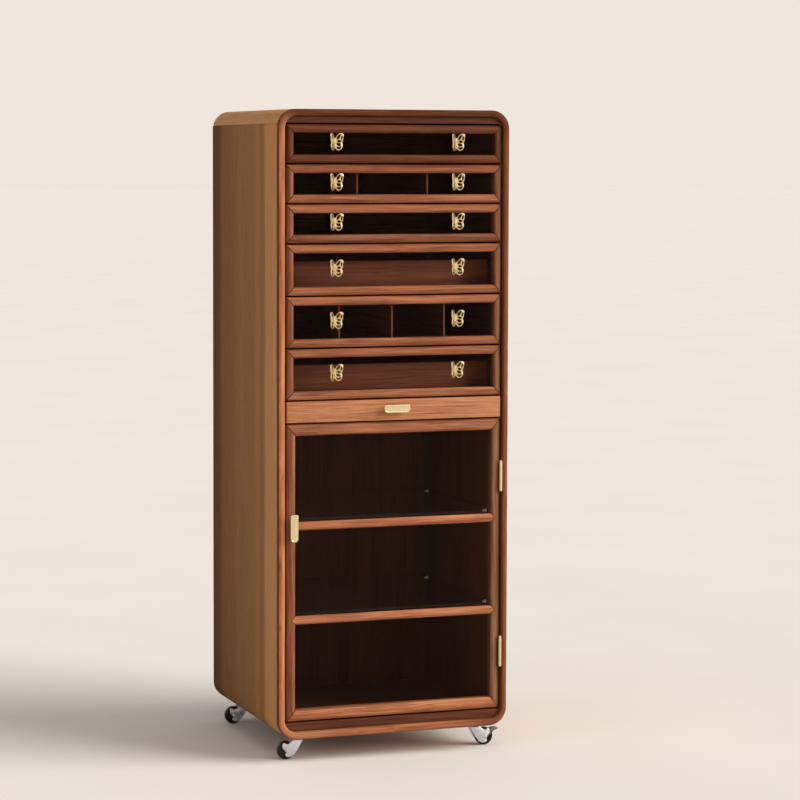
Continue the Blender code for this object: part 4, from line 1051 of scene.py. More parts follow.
class CABINET_OT_case(bpy.types.Operator):
    """Build the bent caps, the sides, the back, the partition and their rails"""
    bl_idname = "cabinet.case"
    bl_label = "Case"

    def execute(self, context):
        sizes = context.scene.cabinet_sizes
        parts = self.bent_boards(sizes)
        for node, up, rail_h in (("top_cap", 1, HEAD_RAIL_H), ("bottom_cap", -1, FOOT_RAIL_H)):
            rail = self.bedded_rail(node + "_rail", up, rail_h)
            self.coat(parts[node], *([FINISH["cap_board"]] if up > 0 else [
                FINISH["side_staves_left"], FINISH["side_staves_right"]]))
            capped = joined(node + "_with_rail", [parts[node], rail])
            done(capped, "case", [node])
        for node, side in (("left_side", -1), ("right_side", 1)):
            self.coat(parts[node], FINISH[f"side_staves_{node.split('_')[0]}"])
            boards = [parts[node]] + self.runners(node, side, sizes.edge)
            done(joined(node + "_with_runners", boards), "case", [node])
        self.back(sizes.edge)
        low, high = BOX["partition"]
        shelf = board("partition_board", low, high, sizes.edge)
        done(coated(shelf, FINISH["case_inside"]), "case", ["partition"])
        return {"FINISHED"}

    def bent_boards(self, sizes):
        """The ring of boards round the case, sawn into the caps and the sides."""
        shell = cube("case_shell", (-HALF_W, BOX["left_side"][0].y, BASE_Z),
                     (HALF_W, BACK_Y, TOP_Z))
        with editing(shell):
            pick(shell, "EDGE", lambda e: runs(e, 1))
            bpy.ops.mesh.bevel(offset=CORNER_R, segments=20, affect="EDGES")
            pick(shell, "FACE", lambda f: abs(f.normal.y) > 0.99)
            bpy.ops.mesh.delete(type="FACE")
        wall = shell.modifiers.new("wall", "SOLIDIFY")
        wall.thickness = BOARD
        wall.offset = -1
        wall.use_even_offset = True
        only(shell)
        bpy.ops.object.modifier_apply(modifier=wall.name)

        parts = {}
        top_seam = TOP_Z - sizes.cap_seam
        foot_seam = BASE_Z + CORNER_R
        back = (0, BACK_Y, 0), (0, 1, 0)
        for node in ("top_cap", "bottom_cap", "left_side", "right_side"):
            part = copied(shell, node + "_board")
            eased = [back]
            if node == "top_cap":
                seam = ((0, 0, top_seam), (0, 0, -1))
                sawn(part, seam)
                eased = [seam, back]
            elif node == "bottom_cap":
                sawn(part, ((0, 0, foot_seam), (0, 0, 1)))
            else:
                seam = ((0, 0, top_seam - GAP), (0, 0, 1))
                sawn(part, seam, ((0, 0, foot_seam + TINY), (0, 0, -1)),
                     ((0, 0, 0), (-1 if node == "right_side" else 1, 0, 0)))
                eased = [seam, back]
            with editing(part):
                for plane in eased:
                    pick(part, "EDGE", on_plane(*plane))
                    bpy.ops.mesh.bevel(offset=sizes.edge / 2, segments=2, affect="EDGES",
                                       clamp_overlap=True)
            parts[node] = part
        removed(shell)
        return parts

    def bedded_rail(self, name, up, rail_h):
        """Rail under a cap, bedded in its rounded corners."""
        bed_r, half_w = INNER_R - GAP, HALF_W - BOARD - GAP
        rail_y = FRONT_Y + CASE_RAIL_SET
        edge_z = TOP_Z - BOARD - GAP / 2 if up > 0 else BASE_Z + BOARD + GAP / 2
        inner_z = (TOP_Z - BOARD - rail_h) if up > 0 else (BASE_Z + BOARD + rail_h)
        far_z = edge_z - up * 3 * bed_r
        rail = cube(name, (-half_w, rail_y, min(edge_z, far_z)),
                    (half_w, rail_y + CASE_RAIL_T, max(edge_z, far_z)))
        with editing(rail):
            pick(rail, "EDGE", lambda e: runs(e, 1) and abs(middle(e).z - edge_z) < TINY)
            bpy.ops.mesh.bevel(offset=bed_r, segments=12, affect="EDGES")
        sawn(rail, ((0, 0, inner_z), (0, 0, -up)))
        with editing(rail):
            pick(rail, "EDGE", lambda e: (all(abs(v.co.y - rail_y) < TINY for v in e.verts)
                                          and abs(middle(e).z - inner_z) < TINY))
            bpy.ops.mesh.bevel(offset=CASE_RAIL_EASE, segments=3, affect="EDGES")
        return coated(rail, FINISH["walnut_case_rail"])

    def runners(self, node, side, ease):
        """Drawer runners on a side, one at the middle of each drawer's height."""
        inner = side * (HALF_W - BOARD)
        ends = sorted((inner, inner - side * RUNNER_W))
        parts = []
        for front in [f"drawer_{n}_frame" for n in DRAWERS] + ["tray_drawer"]:
            centre_z = (BOX[front][0].z + BOX[front][1].z) / 2
            runner = board(f"{node}_runner",
                           (ends[0], FRONT_Y + RUNNER_END, centre_z - RUNNER_H / 2),
                           (ends[1], BACK_Y - RUNNER_END, centre_z + RUNNER_H / 2), ease)
            parts.append(coated(runner, FINISH["box_long"]))
        return parts

    def back(self, ease):
        """Back panel, and a column of screws up each of its edges."""
        low, high = BOX["back_panel"]
        panel = cube("back_board", low, high)
        with editing(panel):
            pick(panel, "EDGE", lambda e: runs(e, 1))
            bpy.ops.mesh.bevel(offset=INNER_R - GAP, segments=12, affect="EDGES")
            pick(panel, "EDGE", on_plane((0, high.y, 0), (0, 1, 0)))
            bpy.ops.mesh.bevel(offset=ease, segments=2, affect="EDGES")
        done(coated(panel, FINISH["case_inside"]), "case", ["back_panel"])
        screws, pattern = [], screw_head("screw_pattern", BACK_SCREW_R)
        spacing = (high.z - low.z - 2 * BACK_SCREW_END) / BACK_SCREW_SPACES
        for side in (-1, 1):
            for step in range(BACK_SCREW_SPACES + 1):
                spot = (side * (high.x - BACK_SCREW_IN), high.y,
                        low.z + BACK_SCREW_END + step * spacing)
                turn = (-90, 0, step * BACK_SCREW_TURN)
                screws.append(copied(pattern, "back_screw", spot, turn))
        removed(pattern)
        done(coated(joined("back_screws", screws), FINISH["steel"]), "case")

    def coat(self, part, finish, right=None):
        """The finish outside, or another one right of the middle, and dark walnut inside."""
        coated(part, finish, FINISH["case_inside"], right or finish)
        centre_z = (TOP_Z + BASE_Z) / 2
        flat = (HALF_W - CORNER_R, (TOP_Z - BASE_Z) / 2 - CORNER_R)
        for face in part.data.polygons:
            out = abs(face.center.x) - flat[0], abs(face.center.z - centre_z) - flat[1]
            reach = math.hypot(*out) if min(out) > 0 else max(out)
            outside = 2 if face.center.x > TINY else 0
            face.material_index = 1 if reach < INNER_R + INSIDE_LAP else outside
        return part


def screw_head(name, radius):
    """Low domed screw head with a cross recess, standing on Z = 0."""
    dome = [(radius * share, height) for share, height in SCREW_DOME]
    head = turned(name, [(0, 0), (radius, 0)] + dome, 20)
    arm, bottom, over = radius * SLOT_SHARE, SCREW_DOME[0][1], 2 * SCREW_DOME[-1][1]
    slots = [cube("slot", (-arm, -arm / 6, bottom), (arm, arm / 6, over)),
             cube("slot", (-arm / 6, -arm, bottom), (arm / 6, arm, over))]
    return carved(head, *slots)


class CABINET_OT_rim(bpy.types.Operator):
    """Build the bent bullnose rim round the front"""
    bl_idname = "cabinet.rim"
    bl_label = "Front Rim"

    def execute(self, context):
        sizes = context.scene.cabinet_sizes
        low, high = BOX["front_rim"]
        inner_r = CORNER_R - sizes.rim_width
        rim = cube("front_lipping", low, high)
        flat_x, flat_z = HALF_W - CORNER_R, (high.z - low.z) / 2 - CORNER_R
        centre_z = (low.z + high.z) / 2

        def spread(point):
            """Distance out from the rim's straight cross, CORNER_R all along its outer edge."""
            out = abs(point.x) - flat_x, abs(point.z - centre_z) - flat_z
            return math.hypot(*out) if min(out) > 0 else max(out)

        with editing(rim):
            pick(rim, "EDGE", lambda e: runs(e, 1))
            bpy.ops.mesh.bevel(offset=CORNER_R, segments=24, affect="EDGES")
            pick(rim, "FACE", lambda f: abs(f.normal.y) > 0.99)
            bpy.ops.mesh.inset(thickness=sizes.rim_width, use_even_offset=True)
            bpy.ops.mesh.delete(type="FACE")
            bm = bmesh.from_edit_mesh(rim.data)
            for edge in bm.edges:
                edge.select_set(edge.is_boundary)
            bmesh.update_edit_mesh(rim.data)
            bpy.ops.mesh.select_mode(type="EDGE")
            bpy.ops.mesh.bridge_edge_loops()
            for outer, radius in ((True, sizes.rim_outer), (False, sizes.rim_inner)):
                pick(rim, "EDGE", lambda e: all(
                    abs(v.co.y - low.y) < TINY and abs(spread(v.co) - (
                        CORNER_R if outer else inner_r)) < 20 * TINY for v in e.verts))
                bpy.ops.mesh.bevel(offset=radius, segments=10, affect="EDGES",
                                   clamp_overlap=False)
            # The head and the foot run a little wider than the uprights
            within = CORNER_R - sizes.rim_width / 2
            for up, width in ((1, sizes.rim_head), (-1, sizes.rim_foot)):
                pick(rim, "VERT", lambda v: (spread(v.co) < within
                                             and (v.co.z - centre_z) * up > 0))
                bpy.ops.transform.translate(value=(0, 0, up * (sizes.rim_width - width)))
            bpy.ops.mesh.select_all(action="SELECT")
            bpy.ops.mesh.normals_make_consistent(inside=False)
            # The grain is laid out from the middle of the foot both ways up to the head
            bpy.ops.mesh.bisect(plane_co=(0, 0, 0), plane_no=(1, 0, 0))
        self.lay_out(rim, (low + high) / 2)
        # The bent strip's outermost ply is toned dark: painted shade along its seam with the sides
        coated(rim, FINISH["walnut_lipping"], FINISH["lipping_edge"])
        for face in rim.data.polygons:
            reach = min(spread(rim.data.vertices[i].co) for i in face.vertices)
            face.material_index = int(reach > CORNER_R - sizes.rim_shade_ply)
        done(rim, "case", ["front_rim"], angle=40)
        return {"FINISHED"}

    def lay_out(self, rim, centre):
        """UV map in metres: along the rim, and across its section."""
        flat_x, flat_z = HALF_W - CORNER_R, (TOP_Z - BASE_Z) / 2 - CORNER_R
        turn = CORNER_R * math.pi / 2
        left_start = 2 * flat_x + 2 * flat_z + 2 * turn + RIM_SPARE
        layer = rim.data.uv_layers.new(name="along")

        def along(x, z):
            """Length round the rim, from the middle of its foot, to the right and up."""
            side = abs(x)
            if side <= flat_x and z < 0:
                run = side
            elif z < -flat_z:
                run = flat_x + CORNER_R * math.atan2(side - flat_x, -flat_z - z)
            elif z <= flat_z:
                run = flat_x + turn + z + flat_z
            elif side > flat_x:
                run = flat_x + turn + 2 * flat_z + CORNER_R * math.atan2(z - flat_z,
                                                                        side - flat_x)
            else:
                run = flat_x + 2 * turn + 2 * flat_z + flat_x - side
            return run

        for face in rim.data.polygons:
            mid_x = face.center.x
            for loop in face.loop_indices:
                co = rim.data.vertices[rim.data.loops[loop].vertex_index].co
                x, z = co.x, co.z - centre.z
                out = max(abs(x) - flat_x, 0.0), max(abs(z) - flat_z, 0.0)
                reach = math.hypot(*out)
                layer.data[loop].uv = (along(x, z) + (left_start if mid_x < 0 else 0.0),
                                       co.y - reach)


class CABINET_OT_shelves(bpy.types.Operator):
    """Build the glass shelves and the pins that carry them"""
    bl_idname = "cabinet.shelves"
    bl_label = "Glass Shelves"

    def execute(self, context):
        sizes = context.scene.cabinet_sizes
        sleeve = turned("pin_pattern", SHELF_PIN, 20)
        pins = []
        for node in ("shelf_lower", "shelf_upper"):
            low, high = BOX[node]
            shelf = board(node + "_glass", low, high, sizes.arris, 1)
            coated(shelf, FINISH["shelf_glass"], FINISH["glass_edge"])
            for face in shelf.data.polygons:
                face.material_index = int(abs(face.normal.z) < 0.9)
            done(shelf, "case", [node], angle=20)
            for side in (-1, 1):
                for y in (FRONT_Y + SHELF_PIN_FRONT, BACK_Y - SHELF_PIN_BACK):
                    spot = (side * (HALF_W - BOARD), y, low.z - GAP - SHELF_PIN_R)
                    pins.append(copied(sleeve, "shelf_pin", spot, (0, -90 * side, 0)))
        removed(sleeve)
        done(coated(joined("shelf_pins", pins), FINISH["pin"]), "case")
        return {"FINISHED"}


# Drawers

class CABINET_OT_fronts(bpy.types.Operator):
    """Build the mitred drawer fronts, once for each height"""
    bl_idname = "cabinet.fronts"
    bl_label = "Drawer Fronts"

    def execute(self, context):
        sizes = context.scene.cabinet_sizes
        for first in (1, 4):
            node = f"drawer_{first}_frame"
            low, high = front_box(node, sizes)
            front = moulded_front(f"drawer_{first}_moulding", low, high, sizes.drawer_rail,
                                  sizes.drawer_stile, sizes.drawer_rail / 2, sizes.crown,
                                  sizes)
            for number in range(first + 1, first + 3):
                shift = BOX[f"drawer_{number}_frame"][0].z - low.z
                other = copied(front, f"drawer_{number}_moulding", (0, 0, shift))
                done(other, f"drawer_{number}", [f"drawer_{number}_frame"])
            done(front, f"drawer_{first}", [node])
        return {"FINISHED"}


def front_box(node, sizes):
    """Corners of a front, its stiles set out to the width of the fronts."""
    low, high = BOX[node]
    return Vector((-sizes.front_half, low.y, low.z)), Vector((sizes.front_half, high.y, high.z))


def pane(name, node, half_w, arris, finish, holes=()):
    """Pane with arrised edges and bolt holes."""
    low, high = BOX[node]
    made = board(name, (-half_w, low.y, low.z), (half_w, high.y, high.z), arris, 1)
    for x, z in holes:
        drill = rod("drill", BOLT_HOLE_R, -2 * GLASS_T, 2 * GLASS_T, 24)
        carved(made, moved(drill, (x, (low.y + high.y) / 2, z), (90, 0, 0)))
    return coated(made, FINISH[finish])


def pull_place(number, side):
    """Where a butterfly pull stands on its pane."""
    low, high = BOX[f"drawer_{number}_pull_{side}"]
    glass_y = BOX[f"drawer_{number}_glass"][0].y
    return Vector(((low.x + high.x) / 2, glass_y, (low.z + high.z) / 2))


class CABINET_OT_panes(bpy.types.Operator):
    """Build the panes of the drawers and the door"""
    bl_idname = "cabinet.panes"
    bl_label = "Panes"

    def execute(self, context):
        sizes = context.scene.cabinet_sizes
        for first in (1, 4):
            node = f"drawer_{first}_glass"
            spots = [pull_place(first, side) for side in ("left", "right")]
            made = pane(f"drawer_{first}_pane", node,
                        sizes.front_half - sizes.drawer_stile + GLASS_BITE, sizes.arris, "pane",
                        [(spot.x, spot.z) for spot in spots])
            for number in range(first + 1, first + 3):
                shift = BOX[f"drawer_{number}_glass"][0].z - BOX[node][0].z
                other = copied(made, f"drawer_{number}_pane", (0, 0, shift))
                done(other, f"drawer_{number}", [f"drawer_{number}_glass"], 20)
            done(made, f"drawer_{first}", [node], 20)
        door_half = sizes.front_half - sizes.door_stile + GLASS_BITE
        done(pane("door_pane", "door_glass", door_half, sizes.arris, "door_pane"), "door",
             ["door_glass"], 20)
        return {"FINISHED"}


def box_sides(name, low, high, sizes):
    """Two grooved sides, a back and a bottom."""
    parts = []
    centre_z = (low.z + high.z) / 2
    for side, outer in ((-1, low.x), (1, high.x)):
        inner = outer - side * BOX_SIDE_T
        ends = sorted((outer, inner))
        plank = board(name + "_side", (ends[0], low.y, low.z), (ends[1], high.y, high.z),
                      sizes.edge)
        cut = sorted((outer - side * GROOVE_D, outer + side * GROOVE_D))
        half_h = RUNNER_H / 2 + RUNNER_AIR
        groove = cube("groove", (cut[0], low.y + GROOVE_STOP, centre_z - half_h),
                      (cut[1], high.y + GROOVE_STOP, centre_z + half_h))
        parts.append(coated(carved(plank, groove), FINISH["box_long"]))
    left, right = low.x + BOX_SIDE_T, high.x - BOX_SIDE_T
    parts.append(coated(board(name + "_back", (left, high.y - BOX_SIDE_T, low.z),
                              (right, high.y, high.z), sizes.edge), FINISH["box_cross"]))
    parts.append(coated(board(name + "_bottom", (left, low.y, low.z),
                              (right, high.y - BOX_SIDE_T, low.z + BOX_BOTTOM_T),
                              sizes.edge / 2), FINISH["box_floor"]))
    return parts


class CABINET_OT_boxes(bpy.types.Operator):
    """Build the drawer boxes with their dividers and cross boards"""
    bl_idname = "cabinet.boxes"
    bl_label = "Drawer Boxes"

    def execute(self, context):
        sizes = context.scene.cabinet_sizes
        for number in DRAWERS:
            low, high = BOX[f"drawer_{number}_box"]
            name = f"drawer_{number}_tray"
            parts = box_sides(name, low, high, sizes)
            left, right = low.x + BOX_SIDE_T, high.x - BOX_SIDE_T
            floor_z, back_y = low.z + BOX_BOTTOM_T, high.y - BOX_SIDE_T
            cells = DIVIDERS.get(number, 0) + 1
            cell_w = (right - left - (cells - 1) * BOX_SIDE_T) / cells
            for cell in range(1, cells):
                x = left + cell * cell_w + (cell - 1) * BOX_SIDE_T
                top = BOX[f"drawer_{number}_frame"][1].z - sizes.drawer_rail
                wall = board(name + "_divider", (x + DIVIDER_TRIM, low.y, floor_z),
                             (x + BOX_SIDE_T - DIVIDER_TRIM, back_y, top), sizes.edge)
                coated(wall, FINISH["box_long"], FINISH["box_edge"])
                # Front edges take the lighter finish, painted light
                for face in wall.data.polygons:
                    face.material_index = int(face.normal.y < -0.5)
                parts.append(wall)
            if number in CROSS_DRAWERS:
                y = low.y + CROSS_SET
                top = BOX[f"drawer_{number}_frame"][1].z - CROSS_DROP
                wall = board(name + "_cross", (left, y, floor_z), (right, y + BOX_SIDE_T, top),
                             sizes.edge)
                parts.append(coated(wall, FINISH["box_front_board"]))
            done(joined(name, parts), f"drawer_{number}",
                 [f"drawer_{number}_box"])
        return {"FINISHED"}


def butterfly(sizes):
    """Cast butterfly: two pierced wings in a V, a ringed body, a post, and bolt and nut behind."""
    parts = []
    loops = (WING_SHARES,) + WING_CELL_SHARES
    for side in (-1, 1):
        outlines = [[(side * u * sizes.wing_reach, v * sizes.wing_height) for u, v in loop]
                    for loop in loops]
        wing = plate("wing", outlines, sizes.wing_sheet, WING_EASE)
        parts.append(moved(wing, (0, -WING_ROOT, 0),
                           (0, 0, -side * math.degrees(sizes.wing_rise))))
    profile = [(share * BODY_R, level * BODY_HALF) for level, share in BEAD_SHARES]
    parts.append(moved(turned("body", profile, 20), (0, -WING_ROOT, -BODY_DROP)))
    parts.append(moved(turned("post", POST, 24), (0, -GAP - POST_FOOT, 0), (90, 0, 0)))
    behind = GLASS_T + GAP
    bolt = rod("bolt", BOLT_R, -behind - NUT_T, BOLT_IN, 20)
    parts.append(moved(bolt, turn=(90, 0, 0)))
    washer = rod("washer", WASHER_R, 0, WASHER_T, 24, WASHER_EASE, 1)
    parts.append(moved(washer, (0, behind, 0), (-90, 0, 0)))
    nut = rod("nut", NUT_R, WASHER_T, NUT_T, 6, NUT_EASE, 1)
    parts.append(moved(nut, (0, behind, 0), (-90, 0, 0)))
    return coated(joined("butterfly_pattern", parts), FINISH["cast_brass"])


class CABINET_OT_pulls(bpy.types.Operator):
    """Build one pierced butterfly pull and set it twelve times"""
    bl_idname = "cabinet.pulls"
    bl_label = "Butterfly Pulls"

    def execute(self, context):
        pattern = butterfly(context.scene.cabinet_sizes)
        for number in DRAWERS:
            for side in ("left", "right"):
                made = copied(pattern, f"drawer_{number}_butterfly_{side}",
                              pull_place(number, side))
                done(made, f"drawer_{number}", [f"drawer_{number}_pull_{side}"])
        removed(pattern)
        return {"FINISHED"}


# Tray drawer and tab pulls

class CABINET_OT_tray(bpy.types.Operator):
    """Build the shallow drawer with its plain front"""
    bl_idname = "cabinet.tray"
    bl_label = "Tray Drawer"

    def execute(self, context):
        sizes = context.scene.cabinet_sizes
        low, high = BOX["tray_drawer"]
        front = cube("tray_front", low, (high.x, low.y + TRAY_FRONT_T, high.z))
        half_w = BOX["drawer_1_box"][1].x
        with editing(front):
            pick(front, "EDGE", on_plane((0, low.y, 0), (0, 1, 0)))
            bpy.ops.mesh.bevel(offset=TRAY_FRONT_EASE, segments=4, affect="EDGES")
            pick(front, "EDGE", lambda e: runs(e, 1) and e.calc_length() > TRAY_FRONT_T / 2)
            bpy.ops.mesh.bevel(offset=TRAY_SIDE_EASE, segments=2, affect="EDGES")
        coated(front, FINISH["cherry"])
        foot_z, top_z = low.z + TRAY_MARGIN, high.z - TRAY_MARGIN
        box_low = Vector((-half_w, BOX["drawer_1_box"][0].y, foot_z))
        box_high = Vector((half_w, BOX["drawer_1_box"][1].y, top_z))
        parts = [front] + box_sides("tray_box", box_low, box_high, sizes)
        # Tongue and cheeks that carry the front, lapped into it and into the box
        near_y, far_y = low.y + TRAY_FRONT_T - TRAY_LAP, box_low.y + TRAY_LAP
        reach = half_w - TRAY_CHEEK_IN
        tongue = board("tray_tongue", (-reach, near_y, foot_z),
                       (reach, far_y, foot_z + BOX_BOTTOM_T), sizes.edge / 2)
        parts.append(coated(tongue, FINISH["box_cross"]))
        for side in (-1, 1):
            ends = sorted((side * reach, side * (half_w - BOX_SIDE_T)))
            cheek = board("tray_cheek", (ends[0], near_y, foot_z), (ends[1], far_y, top_z),
                          sizes.edge / 2)
            parts.append(coated(cheek, FINISH["box_long"]))
        done(joined("tray_drawer_boards", parts), "tray", ["tray_drawer"])
        return {"FINISHED"}


def tab_pull(name, node, sizes):
    """Pressed tab with a raised rim and a dished face, on two turned posts."""
    low, high = BOX[node]
    reach, width = high.x - low.x, high.z - low.z
    level = reach > width
    length, height = max(reach, width) - 2 * sizes.tab_trim, sizes.tab_height
    tab = cube(name, (-length / 2, 0, -height / 2), (length / 2, TAB_T, height / 2))
    with editing(tab):
        for full, radius in ((True, sizes.tab_full), (False, sizes.tab_tight)):
            pick(tab, "EDGE", lambda e: runs(e, 1) and full == (
                middle(e).z < 0 if level else middle(e).x > 0))
            bpy.ops.mesh.bevel(offset=radius, segments=10, affect="EDGES",
                               clamp_overlap=False)
        pick(tab, "EDGE", lambda e: all(abs(v.co.y) < TINY for v in e.verts)
             or all(v.co.y > TAB_T - TINY for v in e.verts))
        bpy.ops.mesh.bevel(offset=TAB_EASE, segments=3, affect="EDGES")
        pick(tab, "FACE", lambda f: f.normal.y < -0.99 and f.calc_area() > height * height)
        bpy.ops.mesh.inset(thickness=sizes.tab_rim - TAB_EASE, use_even_offset=True)
        bpy.ops.mesh.inset(thickness=TAB_DISH_SLOPE, depth=-sizes.tab_dish,
                           use_even_offset=True)
        bpy.ops.mesh.inset(thickness=TAB_DISH_EASE, depth=0.0, use_even_offset=True)
    parts = [tab]
    for side in (-1, 1):
        spot = (side * TAB_POST_SHARE * length, TAB_T + TAB_AIR, 0)
        parts.append(moved(turned("tab_post", TAB_POST, 24), spot, (90, 0, 0)))
    made = coated(joined(name, parts), FINISH["brass"])
    centre = (low + high) / 2
    return moved(made, (centre.x, low.y, centre.z), (0, 0 if level else 90, 0))


class CABINET_OT_tabs(bpy.types.Operator):
    """Build the tab pulls of the tray drawer and the door"""
    bl_idname = "cabinet.tabs"
    bl_label = "Tab Pulls"

    def execute(self, context):
        sizes = context.scene.cabinet_sizes
        for name, node, body in (("tray_tab", "tray_pull", "tray"),
                                 ("door_tab", "door_handle", "door")):
            done(tab_pull(name, node, sizes), body, [node])
        return {"FINISHED"}


# Door

class CABINET_OT_door(bpy.types.Operator):
    """Build the door's mitred frame and its two glazing bars"""
    bl_idname = "cabinet.door"
    bl_label = "Door Frame"

    def execute(self, context):
        sizes = context.scene.cabinet_sizes
        low, high = front_box("door_frame", sizes)
        rail = sizes.door_rail
        pane_h = (high.z - low.z - 2 * rail - 2 * sizes.bar) / 3
        inner = high.x - low.x - 2 * sizes.door_stile
        reach = (inner + sizes.bar) / 2
        pattern = mitred_run("glazing_bar", 2 * reach, sizes.bar, sizes.bar / 2,
                             sizes.crown, BAR_T, FINISH["walnut_rail"], groove=False)
        notch = cube("notch", (-reach - GAP, -NOTCH_PROUD, -sizes.bar / 2 - GAP),
                     (reach + GAP, BAR_T, sizes.bar / 2 + GAP))
        for side in (-1, 1):
            for up in (-1, 1):
                mitred_end(pattern, side, 0, up, sizes.mitre, side * reach)
                sawn(notch, ((side * (reach + GAP), 0, 0), (side, 0, up)))
        bars, notches = [], []
        for level in (1, 2):
            centre_z = low.z + rail + level * pane_h + (level - 0.5) * sizes.bar
            place = ((low.x + high.x) / 2, low.y + TINY, centre_z)
            bars.append(copied(pattern, f"glazing_bar_{level}", place))
            notches.append(copied(notch, f"notch_{level}", place))
        parts = [moulded_front("door_moulding", low, high, rail, sizes.door_stile,
                               sizes.door_edge, sizes.door_crown, sizes, notches), *bars]
        for tool in (pattern, notch, *notches):
            removed(tool)
        done(joined("door_moulding", parts), "door", ["door_frame"])
        return {"FINISHED"}


class CABINET_OT_hinges(bpy.types.Operator):
    """Build the butt hinges with their knuckles, tips and screws"""
    bl_idname = "cabinet.hinges"
    bl_label = "Hinges"

    def execute(self, context):
        door_edge = context.scene.cabinet_sizes.front_half + LEAF_PROUD
        case_edge = HALF_W - BOARD - GAP
        for label in ("upper", "lower"):
            case_node, door_node = f"hinge_{label}_case_leaf", f"hinge_{label}_door_leaf"
            low, high = BOX[case_node]
            pin = Vector((HINGE_X, FRONT_Y + HINGE_SET, (low.z + high.z) / 2))
            half = (high.z - low.z) / 2 - HINGE_TIP[-1][1]
            mid = half * TUBE_SHARE
            tip = [(r, half + rise) for r, rise in HINGE_TIP]
            outline = [(0, mid + GAP), (KNUCKLE_R - KNUCKLE_EASE, mid + GAP),
                       (KNUCKLE_R, mid + GAP + KNUCKLE_EASE), (KNUCKLE_R, half - KNUCKLE_EASE),
                       (KNUCKLE_R - KNUCKLE_EASE, half), *tip]
            fixed = [moved(turned("knuckle", outline, 28), pin, (turn, 0, 0))
                     for turn in (180, 0)]
            fixed.append(moved(rod("hinge_pin", HINGE_PIN_R, -mid - 2 * GAP, mid + 2 * GAP, 20),
                               pin))
            fixed += self.leaf(case_node, 1, case_edge, pin, half,
                               ((mid + GAP, half), (-half, -mid - GAP)))
            done(coated(joined(f"hinge_{label}_fixed_leaf", fixed), FINISH["brass"]), "case",
                 [case_node])
            bore_r = HINGE_PIN_R + TUBE_WALL_IN
            wall = mirrored(mid - GAP, ((bore_r, 0), (KNUCKLE_R - KNUCKLE_EASE, 0),
                                        (KNUCKLE_R, KNUCKLE_EASE)))
            swing = [moved(turned("tube", wall + wall[:1], 28), pin)]
            swing += self.leaf(door_node, -1, door_edge, pin, half, ((GAP - mid, mid - GAP),))
            done(coated(joined(f"hinge_{label}_swing_leaf", swing), FINISH["brass"]), "door",
                 [door_node])
        return {"FINISHED"}

    def leaf(self, node, side, outer, pin, half, spans):
        """Leaf let into an edge, rooted at its knuckles' spans, with three flush screws."""
        inner = outer - LEAF_T
        parts = [board(node + "_sheet", (inner, pin.y + LEAF_NEAR, pin.z - half),
                       (outer, pin.y + LEAF_REACH, pin.z + half), LEAF_EASE, 1)]
        for share in LEAF_SCREW_SHARES:
            spot = Vector((inner if side > 0 else outer,
                           pin.y + (LEAF_NEAR + LEAF_REACH) / 2
                           + LEAF_SCREW_STAGGER * (1 - abs(share)), pin.z + share * half))
            sink = rod("sink", LEAF_SINK_R, -LEAF_SINK_PROUD, LEAF_SINK_D, 28)
            carved(parts[0], moved(sink, spot, (0, -90 * side, 0)))
            head = moved(screw_head("leaf_screw", LEAF_SCREW_R), turn=(0, 0, 25))
            inward = Vector((side * LEAF_SINK_D, 0, 0))
            parts.append(moved(head, spot + inward, (0, -90 * side, 0)))
        for bottom, top in spans:
            parts.append(board(node + "_root", (inner, pin.y + LEAF_ROOT, pin.z + bottom),
                               (outer, pin.y + LEAF_NEAR + LEAF_LAP, pin.z + top),
                               LEAF_ROOT_EASE, 1))
        return parts


class CABINET_OT_catch(bpy.types.Operator):
    """Build the magnetic catch and its strike plate"""
    bl_idname = "cabinet.catch"
    bl_label = "Door Catch"

    def execute(self, context):
        low, high = BOX["catch_magnet"]
        parts = [coated(board("catch_case", low, high, CATCH_EASE, 3), FINISH["hub"])]
        for share in POLE_SHARES:
            z = low.z + share * (high.z - low.z)
            pole = board("pole", (low.x + POLE_IN, low.y - POLE_PROUD, z - POLE_HALF),
                         (high.x - POLE_IN, low.y + POLE_D, z + POLE_HALF), POLE_PROUD, 1)
            parts.append(coated(pole, FINISH["black_steel"]))
        done(joined("catch_housing", parts), "case", ["catch_magnet"])
        low, high = BOX["catch_plate"]
        strike = board("strike_plate", low, high, STRIKE_EASE, 2)
        head = moved(screw_head("strike_screw", STRIKE_SCREW_R),
                     ((low.x + high.x) / 2, high.y - STRIKE_SCREW_IN, (low.z + high.z) / 2),
                     (-90, 0, 30))
        done(coated(joined("strike_plate", [strike, head]), FINISH["steel"]), "door",
             ["catch_plate"])
        return {"FINISHED"}


# Casters

